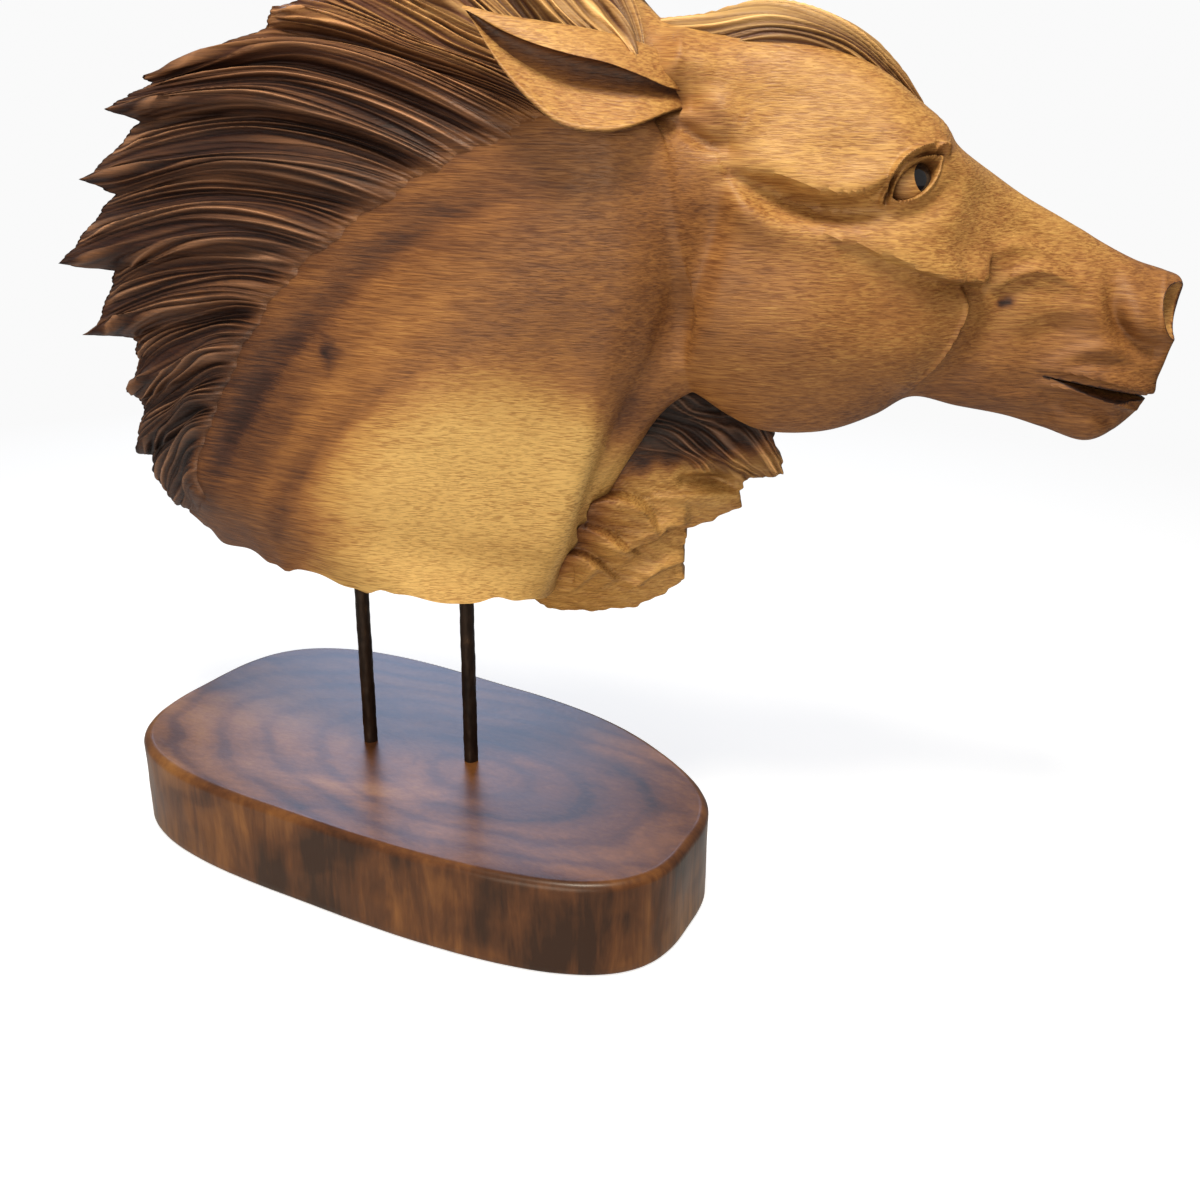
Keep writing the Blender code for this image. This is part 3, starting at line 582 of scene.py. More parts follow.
def smooth_object(name, mesh, marks):
    """An object from a mesh; marks are values at its points for the material."""
    mesh.shade_smooth()
    for mark, values in marks.items():
        layer = mesh.attributes.new(mark, "FLOAT", "POINT")
        layer.data.foreach_set("value", np.asarray(values, np.float32).ravel())
    return linked(name, mesh)


def mesh_object(name, points, faces, marks=None):
    """An object from world points, with its faces turned outwards."""
    mesh = bpy.data.meshes.new(name)
    mesh.from_pydata(np.asarray(points, float).tolist(), [], faces)
    shell = bmesh.new()
    shell.from_mesh(mesh)
    if shell.calc_volume(signed=True) < 0:
        bmesh.ops.reverse_faces(shell, faces=shell.faces)
        shell.to_mesh(mesh)
    shell.free()
    return smooth_object(name, mesh, marks or {})


def closed_loft(name, rings, marks):
    """A closed body from rings of grid points, its two ends drawn to a point."""
    rings = np.asarray(rings, float)
    number, count = rings.shape[:2]
    ends = np.stack((rings[0].mean(axis=0), rings[-1].mean(axis=0)))
    points = to_world(np.concatenate((rings.reshape(-1, 3), ends)))
    marks = {mark: np.append(np.broadcast_to(value, (number, count)).ravel(),
                             (value.flat[0], value.flat[-1]))
             for mark, value in marks.items()}
    return mesh_object(name, points, ring_faces(number, count) + end_fans(number, count), marks)


def plain_sections(rows, phi):
    """Grid points (s, w, y) of the plain surface, and the parameter t of each column."""
    t = (1 - np.cos(phi)) / 2
    basis = through(np.eye(5), t * 4)
    line, width, end = through(LINES, rows), through(WIDTHS, rows), through(ENDS, rows)
    place = np.einsum("ck,rkd->rcd", basis, line)
    blunt = end[:, :1] + (end[:, 1:] - end[:, :1]) * eased(t, 0.25, 0.75)[None, :]
    half = (width @ basis.T) * np.abs(np.sin(phi))[None, :] ** blunt
    back = line[:, 3] - line[:, 4]
    back = back / np.linalg.norm(back, axis=1)[:, None]
    place = place + back[:, None, :] * (notch(rows)[:, None]
                                        * (eased(t, 0.72, 1) ** 1.5)[None, :])[..., None]
    side = np.where(np.sin(phi) >= 0, -1, 1)
    return np.dstack((place, half * side[None, :])), t, back


def outward_normals(grid, closed):
    along = np.gradient(grid, axis=0)
    if closed:
        ring = (np.roll(grid, -1, axis=1) - np.roll(grid, 1, axis=1)) / 2
    else:
        ring = np.gradient(grid, axis=1)
    normal = np.cross(ring, along)
    normal = normal / np.maximum(np.linalg.norm(normal, axis=2, keepdims=True), 1e-9)
    return normal * np.sign((normal[..., 2] * np.sign(grid[..., 2])).sum())


def evened(grid):
    """Evens out the steep fold below the ear, where the sections crowd together."""
    s, w, y = np.moveaxis(grid, 2, 0)
    (fold_s, reach_s), (fold_w, reach_w) = EAR_FOLD
    near = bell(s - fold_s, reach_s) * bell(w - fold_w, reach_w) * eased(np.abs(y), 4, 14)
    for _ in range(EVENING_PASSES):
        middle = (np.roll(grid, 1, 0) + np.roll(grid, -1, 0) + np.roll(grid, 1, 1)
                  + np.roll(grid, -1, 1)) / 4
        grid = grid + 0.5 * near[..., None] * (middle - grid)
    return grid


def carved_body():
    """The head and neck, with a core that the mane lies on, and where each eye sits."""
    rows = np.concatenate((dense_places(0, FIRST_LOCK, FACE_ROWS, DENSE_ROWS)[:-1],
                           fan_rows(NECK_ROWS)))
    count = BODY_COLUMNS
    dense = [(place, 0.25, 1.2) for place in (EYE_COLUMN, tau - EYE_COLUMN)]
    phi = dense_places(0, tau, count + 1, dense)[:-1]
    phi[count // 2] = pi
    grid, t, back = plain_sections(rows, phi)
    v, t = np.meshgrid(rows, t, indexing="ij")
    grid = evened(grid)
    s, w = grid[..., 0].copy(), grid[..., 1].copy()
    normals = outward_normals(grid, True)
    reach = eased(np.abs(grid[..., 2]), 2, 12)
    hair = in_mane(v) * eased(t, 0.5, 0.56)
    total = lock_height(v, t) + relief(s, w, STROKES) * reach * (1 - 0.8 * hair)
    total = total - (2.5 + 3 * under_ear(s, w)) * hair
    grid = grid + normals * total[..., None]
    grid[..., 2] *= 1 - MUZZLE_NARROWING * eased(s, 318, 338)
    eyes = {}
    for side in (RIGHT, LEFT):
        gap = np.hypot(s - EYE_MIDDLE[0], w - EYE_MIDDLE[1]) + 1e3 * (grid[..., 2] * side < 0)
        at = np.unravel_index(gap.argmin(), gap.shape)
        eyes[side] = grid[at], normals[at]
    grid = grid + normals * (eye_height(s, w) * (v < FIRST_LOCK) * reach)[..., None]
    pull = in_mane(v) * eased(t, 0.75, 1) * CREST_PULL
    grid[..., :2] += back[:, None, :] * pull[..., None]
    foot = eased(v, LAST_SECTION - 1, LAST_SECTION)
    grid[..., 1] += foot * (1.9 * wave(s / 47) + 0.8 * wave(s / 24 + 0.3 * wave(s / 61)))
    faces = ring_faces(len(rows), count) + [face[::-1] for face in folded_cap(0, count)]
    faces += folded_cap((len(rows) - 1) * count, count)
    marks = {"ridge": np.full(hair.shape, PLAIN_RIDGE), "hair": hair,
             "tone": tone_at(s, w) * (1 - hair) + hair_tone(v) * hair}
    return mesh_object("horse_carving", to_world(grid.reshape(-1, 3)), faces, marks), eyes


def between_rows(number, step):
    """Rows to work out, and a function that fills in the rows between them."""
    some = np.append(np.arange(0, number - 1, step), number - 1)
    place = np.interp(np.arange(number), some, np.arange(len(some)))
    low = np.minimum(place.astype(int), len(some) - 2)
    part = (place - low)[:, None]
    return some, lambda values: values[low] * (1 - part) + values[low + 1] * part


def mane_half(name, side, neck_rows, columns):
    """The hair on one side of the crest, from the hair line to the tips."""
    rows = fan_rows(neck_rows)
    phi = np.arccos(1 - 2 * np.linspace(HAIR_START, 1, columns))
    grid, t, back = plain_sections(rows, phi if side < 0 else tau - phi)
    grid[..., 2] = np.abs(grid[..., 2]) * side
    v, t = np.meshgrid(rows, t, indexing="ij")
    q = np.broadcast_to(fan_place(rows)[:, None], v.shape)
    shift = 0 if side < 0 else 0.37
    in_hair = in_mane(v)
    small = 1.5 + 0.9 * wave(q / 9.7 + 0.3 * wave(q / 41)) + 0.6 * wave(q / 4.4 + shift)
    grid[..., :2] += back[:, None, :] * (small * in_hair * eased(t, 0.84, 1))[..., None]
    normals = outward_normals(grid, False)
    s, w = grid[..., 0].copy(), grid[..., 1].copy()
    some, filled = between_rows(len(rows), 6)
    edge = 0.500 + 0.006 * wave(q / 31 + shift) + 0.003 * wave(q / 9.3)
    hair = eased(t, edge, edge + 0.075) * in_hair
    sweep = HAIR_SWEEP * (1 - eased(t, 0.42, 0.86)) + HAIR_ARCH * bell(t - 0.78, 0.16)
    height, ridge = strands(q + sweep, t, shift)
    total = lock_height(v, t) + 1.7 * hair
    total += filled(relief(s[some], w[some], STROKES)) * (1 - 0.8 * hair)
    total += hair * height * (1 - 0.35 * eased(t, 0.8, 1))
    # The mane's edges lie under the carving's surface, and below the ear it is pressed in
    total -= 2.5 * (1 - eased(hair, 0, 0.35)) + 6 * (1 - eased(in_hair, 0, 0.4))
    total -= 5 * under_ear(s, w) + 9 * bell(s - 126, 9) * bell(w - 235, 12)
    thin = np.abs(grid[..., 2])
    total = np.maximum(total, -0.55 * thin) * eased(thin, 0, 4)
    grid = grid + normals * total[..., None]
    grid[..., 2] = np.abs(grid[..., 2]) * side
    grid[:, -1, 2] = 0
    inner = grid[:, np.linspace(columns - 2, 0, 6).astype(int)] * (1, 1, 0.5)
    tone = filled(tone_at(s[some], w[some])) * (1 - hair) + hair_tone(v) * hair
    pad = ((0, 0), (0, 6))
    marks = {"ridge": np.pad(ridge * hair + 0.3 * (1 - hair), pad), "hair": np.pad(hair, pad),
             "tone": np.pad(tone, pad, mode="edge")}
    return closed_loft(name, np.concatenate((grid, inner), axis=1), marks)


def ear(name, side):
    """A pointed ear with a hollow, a lower flap and a convex band above the hollow."""
    number, half = 120, 44
    u = np.linspace(0, len(EAR_UPPER) - 1, number)
    top, upper, lower, back, hollow = (
        through(table, u) for table in (EAR_TOP, EAR_UPPER, EAR_LOWER, EAR_BACK, EAR_HOLLOW))
    across = np.linspace(0, 1, half + 1)[:, None]
    above = np.linspace(0, 1, half // 2, endpoint=False)[:, None]
    bow = np.sin(pi * across)
    lean = across + 0.12 * bow - 0.05 * wave(across)
    inward = np.array((0, 0.62, -1))
    inward = inward / np.linalg.norm(inward)
    rings = []
    for k in range(number):
        outer = top[k] + (lower[k] - top[k]) * across + inward * back[k] * bow**0.7
        band = top[k] + (upper[k] - top[k]) * above - inward * 1.6 * np.sin(pi * above)
        inner = upper[k] + (lower[k] - upper[k]) * lean + inward * hollow[k] * bow**0.85
        rings.append(np.vstack((outer, inner[::-1][1:], band[::-1][:-1])))
    rings = np.array(rings) * (1, 1, side)
    # The hollow is painted dark below its upper rim and near the tip, as shade, and painted pale on
    # the lower flap, as light
    flap = eased(across[::-1][1:, 0], 0.40, 0.66)[None, :]
    flap = 0.24 + 0.34 * flap * (1 - 0.8 * eased(u, 5.4, 7.4))[:, None]
    tone = np.hstack((np.full((number, half + 1), EAR_TONE), flap,
                      np.full((number, len(above) - 1), EAR_TONE)))
    flat = np.zeros(rings.shape[:2])
    return closed_loft(name, rings, {"ridge": flat + PLAIN_RIDGE, "hair": flat, "tone": tone})


def forelock():
    """The lock that lies over the brow, thickest behind and pointed in front."""
    number, count = 210, 250
    u = np.linspace(0, len(FORELOCK_PATH) - 1, number)
    centre, size = through(FORELOCK_PATH, u), through(FORELOCK_SIZES, u)
    ahead = np.gradient(centre, axis=0)
    ahead /= np.linalg.norm(ahead, axis=1)[:, None]
    out = np.cross(np.array((0, 0, 1)), ahead)
    angle = np.linspace(0, tau, count, endpoint=False)
    flow = u[:, None] / 7
    height, ridge = strands(angle[None, :] * 21 + 7 * flow, flow, 0.2)
    fade = np.clip(size[:, :1] / 12, 0, 1) * eased(u, 0, 0.6)[:, None]
    rough = 0.75 * (height - 0.4) * fade
    rings = (centre[:, None, :]
             + (np.cos(angle)[None, :] * (size[:, :1] + rough))[..., None] * (0, 0, 1)
             - (np.sin(angle)[None, :] * (size[:, 1:] + rough))[..., None] * out[:, None, :])
    return closed_loft("forelock", rings, {"ridge": ridge, "hair": np.ones_like(ridge),
                                           "tone": 0.94 - 0.30 * eased(u, 3.2, 5.2)[:, None]})


def frill():
    """The hair under the jaw: strands at the top, gouged steps below them."""
    number, columns = 270, 120
    rows = np.array(FRILL, float)
    u = np.linspace(0, len(rows) - 1, number)
    low = np.minimum(u.astype(int), len(rows) - 2)
    f = (u - low)[:, None]
    edge = rows[low, 1] * (1 - f) + rows[low + 1, 1] * f
    root = through(rows[:, 0], u)
    jag = 0.8 * wave(u * 1.37) + 0.5 * wave(u * 3.1 + 0.2)
    a = np.linspace(0, 1, columns)[None, :, None]
    line = root[:, None, :] + (edge - root)[:, None, :] * (a + jag[:, None, None] / 60 * a**3)
    s, w, a = line[..., 0], line[..., 1], a[..., 0]
    up = u[:, None] + 0 * s
    far = 20 + 13 * a**0.6 + 0.8 * wave(up * 1.9 + 0.5 * a) + 0.4 * wave(up * 4.3 - a)
    # The strands fan out from the throat and droop towards the edge
    spread = np.hypot(s - 112, (w - 30) * 1.06)
    height, ridge = strands(spread * 1.05, a * 0.9, 0.6)
    hairy = 1 - eased(up, 2.7, 3.5)
    fibres = wave(w / 1.9 + 0.5 * wave(s / 17) + 0.35 * wave(s / 6.1 + w / 9))
    near = -4 + 21 * a - 1.5 * relief(s, w, GOUGES) - 0.8 * hairy * height
    near = near - (1 - hairy) * (0.16 * fibres + 0.30 * wave(w / 7.3 + s / 31))
    rings = np.concatenate((np.dstack((line, near)), np.dstack((line, far))[:, ::-1]), axis=1)
    # Painted shade: the strips are near black up under the jaw and paler below it. They are also
    # darker where they leave the throat.
    pale_below_jaw_shade = 1 - eased(w - 0.16 * (s - 120) + 1.4 * wave(s / 13), 66, 80)
    marks = {"ridge": ridge * hairy + PLAIN_RIDGE * (1 - hairy), "hair": 0.9 * hairy,
             "tone": 0.08 + (0.64 - 0.34 * bell(a, 0.16)) * pale_below_jaw_shade}
    marks = {mark: np.hstack((value, value[:, ::-1])) for mark, value in marks.items()}
    return closed_loft("frill", rings, marks)


def plain_marks(number, tone):
    return {"ridge": np.full(number, PLAIN_RIDGE), "hair": np.zeros(number),
            "tone": np.full(number, tone)}


def nostril_cutter(side):
    mesh = bmesh.new()
    bmesh.ops.create_uvsphere(mesh, u_segments=48, v_segments=32, radius=1)
    points = np.array([tuple(v.co) for v in mesh.verts]) * NOSTRIL_RADII
    faces = [tuple(v.index for v in f.verts) for f in mesh.faces]
    mesh.free()
    points = points[:, (0, 2, 1)] + np.array(NOSTRIL_PLACE) * (1, 1, side)
    # The cut faces take a pale tone: painted light inside the nostril
    return mesh_object("nostril", to_world(points), faces, plain_marks(len(points), 0.72))


def mouth_cutter(side):
    """The gap between the lips; its floor slopes at the outside, along the lower lip's top."""
    corner, front = np.array(MOUTH_CORNER), np.array(MOUTH_FRONT)
    ahead = (front - corner) / np.linalg.norm(front - corner)
    up = np.array((-ahead[1], ahead[0]))
    length = np.linalg.norm(front - corner) + MOUTH_BEYOND
    steps = 14
    shares = [k / steps for k in range(steps + 1)]
    outline = [(u, -1) for u in shares] + [(u, 1) for u in shares[:0:-1]]
    points = []
    for level in range(3):
        for u, way in outline:
            inner, edge = (a + (b - a) * u for a, b in (MOUTH_DEPTH, LIP_EDGE))
            depth = (inner, edge, MOUTH_OUTSIDE)[level]
            lift = way * MOUTH_OPENING / 2
            if level == 2 and way < 0:
                lift -= LIP_SLOPE * (MOUTH_OUTSIDE - edge)
            place = corner + ahead * length * u + up * lift * u**0.45
            points.append((place[0], place[1], side * depth))
    count = len(outline)
    faces = [tuple(range(count))[::-1], tuple(range(2 * count, 3 * count))]
    faces += ring_faces(3, count)
    # The cut faces take a pale tone: painted light on the lower lip's top
    made = mesh_object("mouth", to_world(points), faces, plain_marks(3 * count, 0.80))
    shell = bmesh.new()
    shell.from_mesh(made.data)
    bmesh.ops.triangulate(shell, faces=shell.faces)
    shell.to_mesh(made.data)
    shell.free()
    return made


def apply_modifiers(obj):
    source = obj.evaluated_get(bpy.context.evaluated_depsgraph_get())
    done = bpy.data.meshes.new_from_object(source)
    obj.modifiers.clear()
    obj.data = done


def cut(body, cutters):
    """Cuts the shapes from the body, then thins the mesh where it is flat."""
    for cutter in cutters:
        step = body.modifiers.new("Cut", "BOOLEAN")
        step.operation = "DIFFERENCE"
        step.solver = "MANIFOLD"
        step.object = cutter
    apply_modifiers(body)
    body.data.materials.clear()
    for cutter in cutters:
        bpy.data.objects.remove(cutter)
    body.data.calc_loop_triangles()
    thin = body.modifiers.new("Thinning", "DECIMATE")
    thin.ratio = min(1, BODY_TRIANGLES / len(body.data.loop_triangles))
    apply_modifiers(body)
    body.data.shade_smooth()
    body.data.set_sharp_from_angle(angle=radians(48))


def eyeball(name, place, normal):
    """A carved ball in the socket, with the glossy iris at its front."""
    middle = Vector(to_world(place - normal * (EYE_RADIUS + EYE_SUNK)))
    axis = Vector(to_world((*IRIS_MIDDLE, place[2]))) - middle
    ball = bmesh.new()
    bmesh.ops.create_uvsphere(ball, u_segments=64, v_segments=60, radius=EYE_RADIUS * UNIT)
    # The rings lie round the iris, so that one of them is its edge
    ball.transform(axis.to_track_quat("Z", "Y").to_matrix().to_4x4())
    ball.transform(Matrix.Translation(middle))
    limit = cos(radians(IRIS_HALF_ANGLE))
    for face in ball.faces:
        away = (face.calc_center_median() - middle).normalized()
        face.material_index = 1 if away.dot(axis.normalized()) > limit else 0
    mesh = bpy.data.meshes.new(name)
    ball.to_mesh(mesh)
    ball.free()
    return smooth_object(name, mesh, plain_marks(len(mesh.vertices), 0.66))


def base_outline(inset, number):
    angle = np.linspace(0, tau, number, endpoint=False)
    power = 2 / BASE_SQUARENESS
    x = (BASE_LENGTH / 2 - inset) * np.sign(np.cos(angle)) * np.abs(np.cos(angle)) ** power
    y = (BASE_WIDTH / 2 - inset) * np.sign(np.sin(angle)) * np.abs(np.sin(angle)) ** power
    swell = np.ones(number)
    for times, cosine, sine in BASE_WAVES:
        swell = swell + cosine * np.cos(times * angle) + sine * np.sin(times * angle)
    return np.column_stack((x * swell, y * swell)), angle


def slab():
    """The slab with a softly rounded, slightly uneven edge and a gently waved top."""
    number = 320
    top, foot = BASE_TOP_ROUNDING, BASE_FOOT_ROUNDING
    profile = [(foot, 0), (foot * 0.3, foot * 0.3), (0, foot)]
    profile += [(0, foot + (BASE_THICKNESS - top - foot) * k / 14) for k in range(1, 15)]
    profile += [(top * (1 - cos(a)), BASE_THICKNESS - top * (1 - sin(a)))
                for a in np.linspace(0.15, pi / 2, 8)]
    profile += [(top + BASE_WIDTH * 0.40 * (k / 24) ** 1.4, BASE_THICKNESS)
                for k in range(1, 25)]
    rings = []
    for inset, height in profile:
        outline, angle = base_outline(inset + 0.00015, number)
        side = bell(height - BASE_THICKNESS * 0.5, BASE_THICKNESS * 0.45)
        uneven = (0.0003 * np.sin(7 * angle + 90 * height) + 0.00018 * np.sin(17 * angle + 2)
                  + 0.0001 * np.sin(41 * angle - 160 * height)) * side
        length = np.linalg.norm(outline, axis=1)[:, None]
        outline = outline * (1 - np.abs(uneven)[:, None] / length)
        z = np.full(number, height)
        if height > BASE_THICKNESS - 1e-6:
            x, y = outline.T
            z -= 0.00012 * (1 + np.sin(x * 41 + 1.3 * np.sin(y * 60)) * np.sin(y * 73))
        rings.append(np.column_stack((outline, z)))
    faces = ring_faces(len(rings), number) + end_fans(len(rings), number)
    return mesh_object("slab", np.concatenate((*rings, [[0, 0, 0], rings[-1].mean(axis=0)])), faces)


def rod(name, s):
    """Round bar with the small dents of a hand-finished fitting."""
    x, y, _ = centreline(s)
    sides = 40
    bottom = BASE_THICKNESS - ROD_DEPTH_IN_BASE
    top = BASE_THICKNESS + STAND_GAP + ROD_DEPTH_IN_NECK
    height = np.linspace(bottom, top, 140)
    a, z = np.meshgrid(np.linspace(0, tau, sides, endpoint=False), height)
    dent = (0.00007 * np.sin(3 * a + 210 * z + s) + 0.00005 * np.sin(5 * a - 470 * z)
            + 0.00005 * np.sin(900 * z + 2 * a))
    radius = ROD_DIAMETER / 2 - 0.0002 + dent
    points = np.dstack((x + radius * np.cos(a), y + radius * np.sin(a), z)).reshape(-1, 3)
    points = np.concatenate((points, [[x, y, bottom], [x, y, top]]))
    return mesh_object(name, points, ring_faces(len(height), sides) + end_fans(len(height), sides))


class Nodes:
    """Short calls that build a node tree."""

    def __init__(self, tree):
        self.tree = tree

    def fill(self, made, inputs):
        """Links a node's inputs, or gives them plain values."""
        for key, value in inputs.items():
            socket = made.inputs[key]
            if isinstance(value, bpy.types.NodeSocket):
                self.tree.links.new(value, socket)
            else:
                socket.default_value = (*value, 1) if socket.type == "RGBA" else value

    def node(self, kind, inputs, output=0, **settings):
        made = self.tree.nodes.new("ShaderNode" + kind)
        for name, value in settings.items():
            setattr(made, name, value)
        self.fill(made, inputs)
        return made.outputs[output]

    def math(self, operation, *values, clamp=False):
        return self.node("Math", dict(enumerate(values)), operation=operation, use_clamp=clamp)

    def add(self, first, *others):
        for value in others:
            first = self.math("ADD", first, value)
        return first

    def times(self, a, b):
        return self.math("MULTIPLY", a, b)

    def swing(self, value, amount):
        """A noise's swing about its middle, times an amount."""
        return self.times(self.math("SUBTRACT", value, 0.5), amount)

    def mix(self, kind, share, a, b):
        return self.node("Mix", {0: share, 6: a, 7: b}, 2, data_type="RGBA", blend_type=kind)

    def ramp(self, value, stops):
        """Colours, or greys given as one number, at places along a value."""
        made = self.tree.nodes.new("ShaderNodeValToRGB")
        while len(made.color_ramp.elements) < len(stops):
            made.color_ramp.elements.new(0.5)
        for element, (place, colour) in zip(made.color_ramp.elements, stops):
            element.position = place
            element.color = (*(colour if isinstance(colour, tuple) else (colour,) * 3), 1)
        self.fill(made, {"Fac": value})
        return made.outputs["Color"]

    def place(self):
        return self.node("TexCoord", {}, "Object")

    def noise(self, scale, turn=0, detail=3, rough=0.55, distortion=0, shift=(0, 0, 0),
              rise=0):
        """Noise in the object's own place, stretched along the grain, which may rise forwards."""
        lean = (0, radians(rise), radians(-turn))
        place = self.node("Mapping", {"Vector": self.place(), "Rotation": lean,
                                      "Location": shift, "Scale": scale})
        return self.node("TexNoise", {"Vector": place, "Scale": 1, "Detail": detail,
                                      "Roughness": rough, "Distortion": distortion}, "Fac")

    def bump(self, shader, height, strength, distance):
        normal = self.node("Bump", {"Strength": strength, "Distance": distance, "Height": height})
        self.fill(shader, {"Normal": normal})


def new_material(name, inputs):
    made = bpy.data.materials.new(name)
    made.use_nodes = True
    nodes = Nodes(made.node_tree)
    shader = made.node_tree.nodes["Principled BSDF"]
    nodes.fill(shader, inputs)
    return made, nodes, shader


def carved_wood():
    made, nodes, shader = new_material("carved_wood", {})
    tone, ridge, hair = (nodes.node("Attribute", {}, "Fac", attribute_name=name)
                         for name in ("tone", "ridge", "hair"))
    growth = nodes.noise((5, 20, 34), GRAIN_TURN, 3, 0.6, 0.6, (0, 0, 0), 42)
    bands = nodes.noise((22, 90, 150), GRAIN_TURN, 3, 0.6, 0.5, (3, 1, 2), 24)
    streaks = nodes.noise((50, 300, 1150), GRAIN_TURN, 2, 0.6, 0.4, (5, 2, 9), 5)
    depth = nodes.add(tone, nodes.swing(growth, 0.30), nodes.swing(bands, 0.20),
                      nodes.swing(streaks, 0.46))
    colour = nodes.ramp(depth, WOOD_COLOURS)
    # Pores: short dark dashes along the grain
    pores = nodes.noise((95, 460, 1900), GRAIN_TURN, 2, 0.5, 0.3, (0, 0, 0), 5)
    dash = nodes.ramp(pores, ((0.46, 0), (0.62, 1)))
    bare = nodes.math("SUBTRACT", 1, nodes.times(hair, 0.8))
    spread = nodes.noise((14, 50, 50), GRAIN_TURN, 2, 0.5, 0, (7, 4, 1))
    amount = nodes.times(nodes.times(dash, bare), nodes.add(spread, 0.15))
    colour = nodes.mix("MULTIPLY", amount, colour, (0.52, 0.40, 0.30))
    # Hair: painted shade darkens the grooves, and the ridges are paler, partly as wear and partly
    # as painted highlight
    groove = nodes.times(hair, nodes.math("SUBTRACT", 1, ridge))
    groove = nodes.math("MULTIPLY", groove, 1.2, clamp=True)
    colour = nodes.mix("MULTIPLY", groove, colour, (0.17, 0.10, 0.13))
    # Painted highlight, with some wear, along the ridges
    crest = nodes.times(hair, nodes.math("POWER", ridge, 3.6))
    colour = nodes.mix("ADD", nodes.times(crest, 1.1), colour, (0.36, 0.205, 0.125))
    # Painted shade: the creases of the carving are darkened by their ambient occlusion
    crease_shade = nodes.node("AmbientOcclusion", {"Distance": 0.012}, "AO", samples=6)
    shade = nodes.ramp(crease_shade, ((0.25, (0.22, 0.15, 0.13)), (0.85, 1)))
    nodes.fill(shader, {"Base Color": nodes.mix("MULTIPLY", 0.9, colour, shade),
                        "Roughness": nodes.add(0.40, nodes.times(bands, 0.22))})
    surface = nodes.add(nodes.times(streaks, 0.8), nodes.times(dash, -0.5))
    nodes.bump(shader, surface, 0.35, 0.0006)
    return made


def eye_gloss():
    made, nodes, shader = new_material("eye_gloss", {
        "Roughness": 0.08, "Coat Weight": 0.6, "Coat Roughness": 0.03})
    colour = nodes.ramp(nodes.noise((500, 500, 500)),
                        ((0.3, (0.004, 0.004, 0.006)), (0.8, (0.012, 0.010, 0.012))))
    nodes.fill(shader, {"Base Color": colour})
    return made


def slab_wood():
    made, nodes, shader = new_material("slab_wood", {
        "Roughness": 0.40, "Specular IOR Level": 0.3, "Coat Weight": 0.16,
        "Coat Roughness": 0.24})
    lean = tuple(radians(angle) for angle in (5, -9, -14))
    place = nodes.node("Mapping", {"Vector": nodes.place(), "Location": (-0.010, 0.010, 0),
                                   "Rotation": lean, "Scale": (0.50, 1, 1)})
    rings = nodes.node("TexWave", {
        "Vector": place, "Scale": 19, "Distortion": 6.5, "Detail": 4, "Detail Scale": 0.9,
        "Detail Roughness": 0.5}, "Fac", wave_type="RINGS", rings_direction="Z")
    thin = nodes.ramp(rings, ((0, 0), (0.30, 0.62), (1, 1)))
    # How much the surface faces sideways, and the dark zones along the slab
    normal = nodes.node("NewGeometry", {}, "True Normal")
    facing = nodes.math("ABSOLUTE", nodes.node("SeparateXYZ", {0: normal}, "Z"))
    upright = nodes.math("SUBTRACT", 1, facing)
    x, z = (nodes.node("SeparateXYZ", {0: nodes.place()}, axis) for axis in "XZ")
    blotch = nodes.noise((7, 15, 5), 14, 4, 0.6, 0.9, (2, 5, 3))
    streak = nodes.noise((60, 90, 9), 14, 4, 0.62, 0.6)
    fine = nodes.noise((260, 420, 40), 14, 3, 0.6)
    length = nodes.math("DIVIDE", nodes.add(nodes.math("SUBTRACT", x, z), 0.24), 0.44)
    length = nodes.add(length, nodes.swing(streak, 0.10))
    zone = nodes.ramp(length, (
        (0, 0.15), (0.37, 0), (0.44, 0.9), (0.56, 0.75), (0.62, 0.25), (0.76, 0.3),
        (0.82, 1), (0.86, 0.4), (0.93, 0.6)))
    fading = nodes.noise((9, 14, 4), 40, 2, 0.5, 0, (8, 1, 6))
    lines = nodes.times(nodes.math("SUBTRACT", thin, 0.8), nodes.times(fading, 0.30))
    depth = nodes.add(lines, nodes.times(blotch, 1.12))
    depth = nodes.math("SUBTRACT", depth, nodes.times(zone, nodes.times(upright, 0.13)))
    sides = nodes.add(nodes.times(upright, 0.75), 0.25)
    depth = nodes.add(depth, nodes.times(nodes.swing(streak, 0.9), sides),
                      nodes.swing(fine, 0.22))
    colour = nodes.ramp(depth, ((0.26, (0.034, 0.012, 0.005)), (0.46, (0.105, 0.037, 0.012)),
                                (0.64, (0.205, 0.080, 0.022)), (0.88, (0.37, 0.165, 0.044))))
    nodes.fill(shader, {"Base Color": colour})
    uneven = nodes.noise((34, 60, 40), 14, 2, 0.5, 0.3)
    nodes.bump(shader, nodes.add(nodes.times(fine, 0.4), uneven), 0.25, 0.0008)
    return made


def rod_steel():
    made, nodes, shader = new_material("rod_steel", {"Roughness": 0.42, "Metallic": 0.75})
    rust = nodes.noise((180, 180, 60), 0, 4, 0.65)
    colour = nodes.ramp(rust, ((0.35, (0.018, 0.012, 0.010)), (0.6, (0.045, 0.028, 0.020)),
                               (0.8, (0.16, 0.085, 0.040))))
    nodes.fill(shader, {"Base Color": colour})
    nodes.bump(shader, rust, 0.4, 0.0005)
    return made


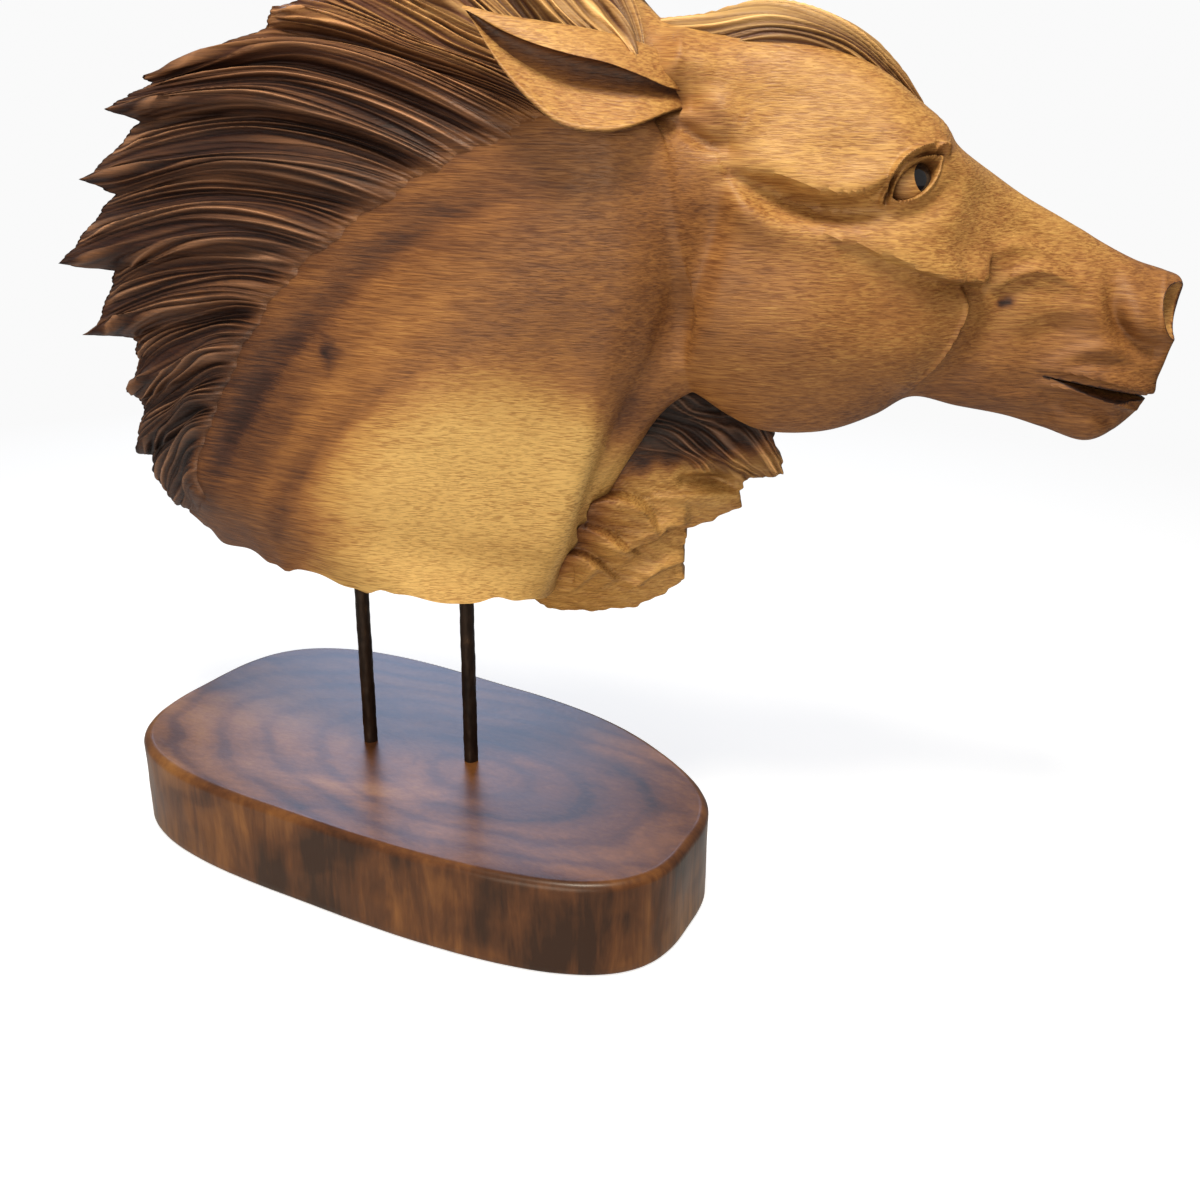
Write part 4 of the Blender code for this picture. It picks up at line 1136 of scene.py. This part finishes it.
def build_head():
    cutters = [cutter(side) for side in (RIGHT, LEFT) for cutter in (nostril_cutter, mouth_cutter)]
    body, eyes = carved_body()
    cut(body, cutters)
    pieces = [body, ear("ear_right", RIGHT), ear("ear_left", LEFT), forelock(), frill(),
              mane_half("mane_right", RIGHT, *MANE_RIGHT_ROWS),
              mane_half("mane_left", LEFT, *MANE_LEFT_ROWS)]
    eyes = [eyeball("eye_right", *eyes[RIGHT]), eyeball("eye_left", *eyes[LEFT])]
    wood, gloss = carved_wood(), eye_gloss()
    for piece in pieces + eyes:
        piece.data.materials.append(wood)
        if piece in eyes:
            piece.data.materials.append(gloss)
        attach(piece, "root")
        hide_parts("horse_head")


def build_stand():
    half = ROD_SPACING / 2 / UNIT
    middle = -RODS_BEHIND_DATUM / UNIT
    steel = rod_steel()
    for piece, node, slot, look in (
            (slab(), "base", "slab_wood", slab_wood()),
            (rod("bar_rear", middle - half), "rod_rear", "rod_steel", steel),
            (rod("bar_front", middle + half), "rod_front", "rod_steel", steel)):
        piece.data.materials.append(look)
        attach(piece, "root")
        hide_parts(node)
        piece.data.set_sharp_from_angle(angle=radians(50))


def build_camera():
    down, yaw, roll = (radians(a) for a in (CAMERA_DOWN, CAMERA_YAW, CAMERA_ROLL))
    level = Vector((sin(yaw), cos(yaw), 0))
    ahead = level * cos(down) - Vector((0, 0, sin(down)))
    right = Vector((cos(yaw), -sin(yaw), 0))
    up = right.cross(ahead)
    right, up = (right * cos(roll) + up * sin(roll),
                 up * cos(roll) - right * sin(roll))
    camera = bpy.data.cameras.new("photo_camera")
    camera.lens = 36
    camera.sensor_width = 36
    camera.clip_start = 0.01
    holder = linked("photo_camera", camera)
    turn = Matrix((right, up, -ahead)).transposed()
    holder.matrix_world = Matrix.Translation(CAMERA_PLACE) @ turn.to_4x4()
    bpy.context.scene.camera = holder


def area_light(name, place, target, size, power, colour):
    lamp = bpy.data.lights.new(name, "AREA")
    lamp.shape = "DISK"
    lamp.size = size
    lamp.energy = power
    lamp.color = colour
    holder = linked(name, lamp)
    holder.location = place
    holder.rotation_euler = (Vector(target) - Vector(place)).to_track_quat("-Z", "Y").to_euler()


def build_floor():
    """A pale floor that takes the object's shadow near it and fades into the backdrop."""
    circle = bmesh.new()
    bmesh.ops.create_circle(circle, cap_ends=True, segments=96, radius=40)
    mesh = bpy.data.meshes.new("floor")
    circle.to_mesh(mesh)
    circle.free()
    floor = linked("floor", mesh)
    floor.location = (0, 0, -0.0005)
    made, nodes, shader = new_material("pale_floor", {
        "Roughness": 0.9, "Specular IOR Level": 0, "Base Color": (FLOOR_PALE,) * 3})
    away = nodes.node("VectorMath", {0: nodes.place()}, "Value", operation="LENGTH")
    far = nodes.math("DIVIDE", away, FLOOR_REACH, clamp=True)
    seen = nodes.node("LightPath", {}, "Is Camera Ray")
    strength = nodes.times(nodes.add(FLOOR_GLOW, nodes.times(far, BACKDROP - FLOOR_GLOW)), seen)
    black = nodes.node("BsdfDiffuse", {"Color": (0, 0, 0)})
    fade = nodes.node("MixShader", {0: far, 1: shader.outputs[0], 2: black})
    glow = nodes.node("Emission", {"Strength": strength})
    both = nodes.node("AddShader", {0: fade, 1: glow})
    nodes.fill(made.node_tree.nodes["Material Output"], {"Surface": both})
    mesh.materials.append(made)


def build_light():
    world = bpy.data.worlds.new("white_room")
    bpy.context.scene.world = world
    world.use_nodes = True
    nodes = Nodes(world.node_tree)
    room = world.node_tree.nodes["Background"]
    nodes.fill(room, {"Color": (1, 0.98, 0.95), "Strength": 0.30})
    seen = nodes.node("Background", {"Color": (BACKDROP,) * 3})
    choose = nodes.node("MixShader", {0: nodes.node("LightPath", {}, "Is Camera Ray"),
                                      1: room.outputs[0], 2: seen})
    nodes.fill(world.node_tree.nodes["World Output"], {"Surface": choose})
    area_light("key", (0.30, -0.42, 1.30), (0.06, 0, 0.30), 0.35, 13, (1, 0.92, 0.75))
    area_light("window", (-0.95, 1.25, 0.85), (0, 0, 0.15), 0.9, 10, (0.50, 0.66, 1))
    area_light("fill", (0.35, -1.25, 0.30), (0.05, 0, 0.22), 0.9, 8.5, (1, 0.88, 0.70))
    bpy.context.scene.view_settings.view_transform = "Standard"


def main():
    build_camera()
    build_light()
    build_floor()
    build_stand()
    build_head()


main()
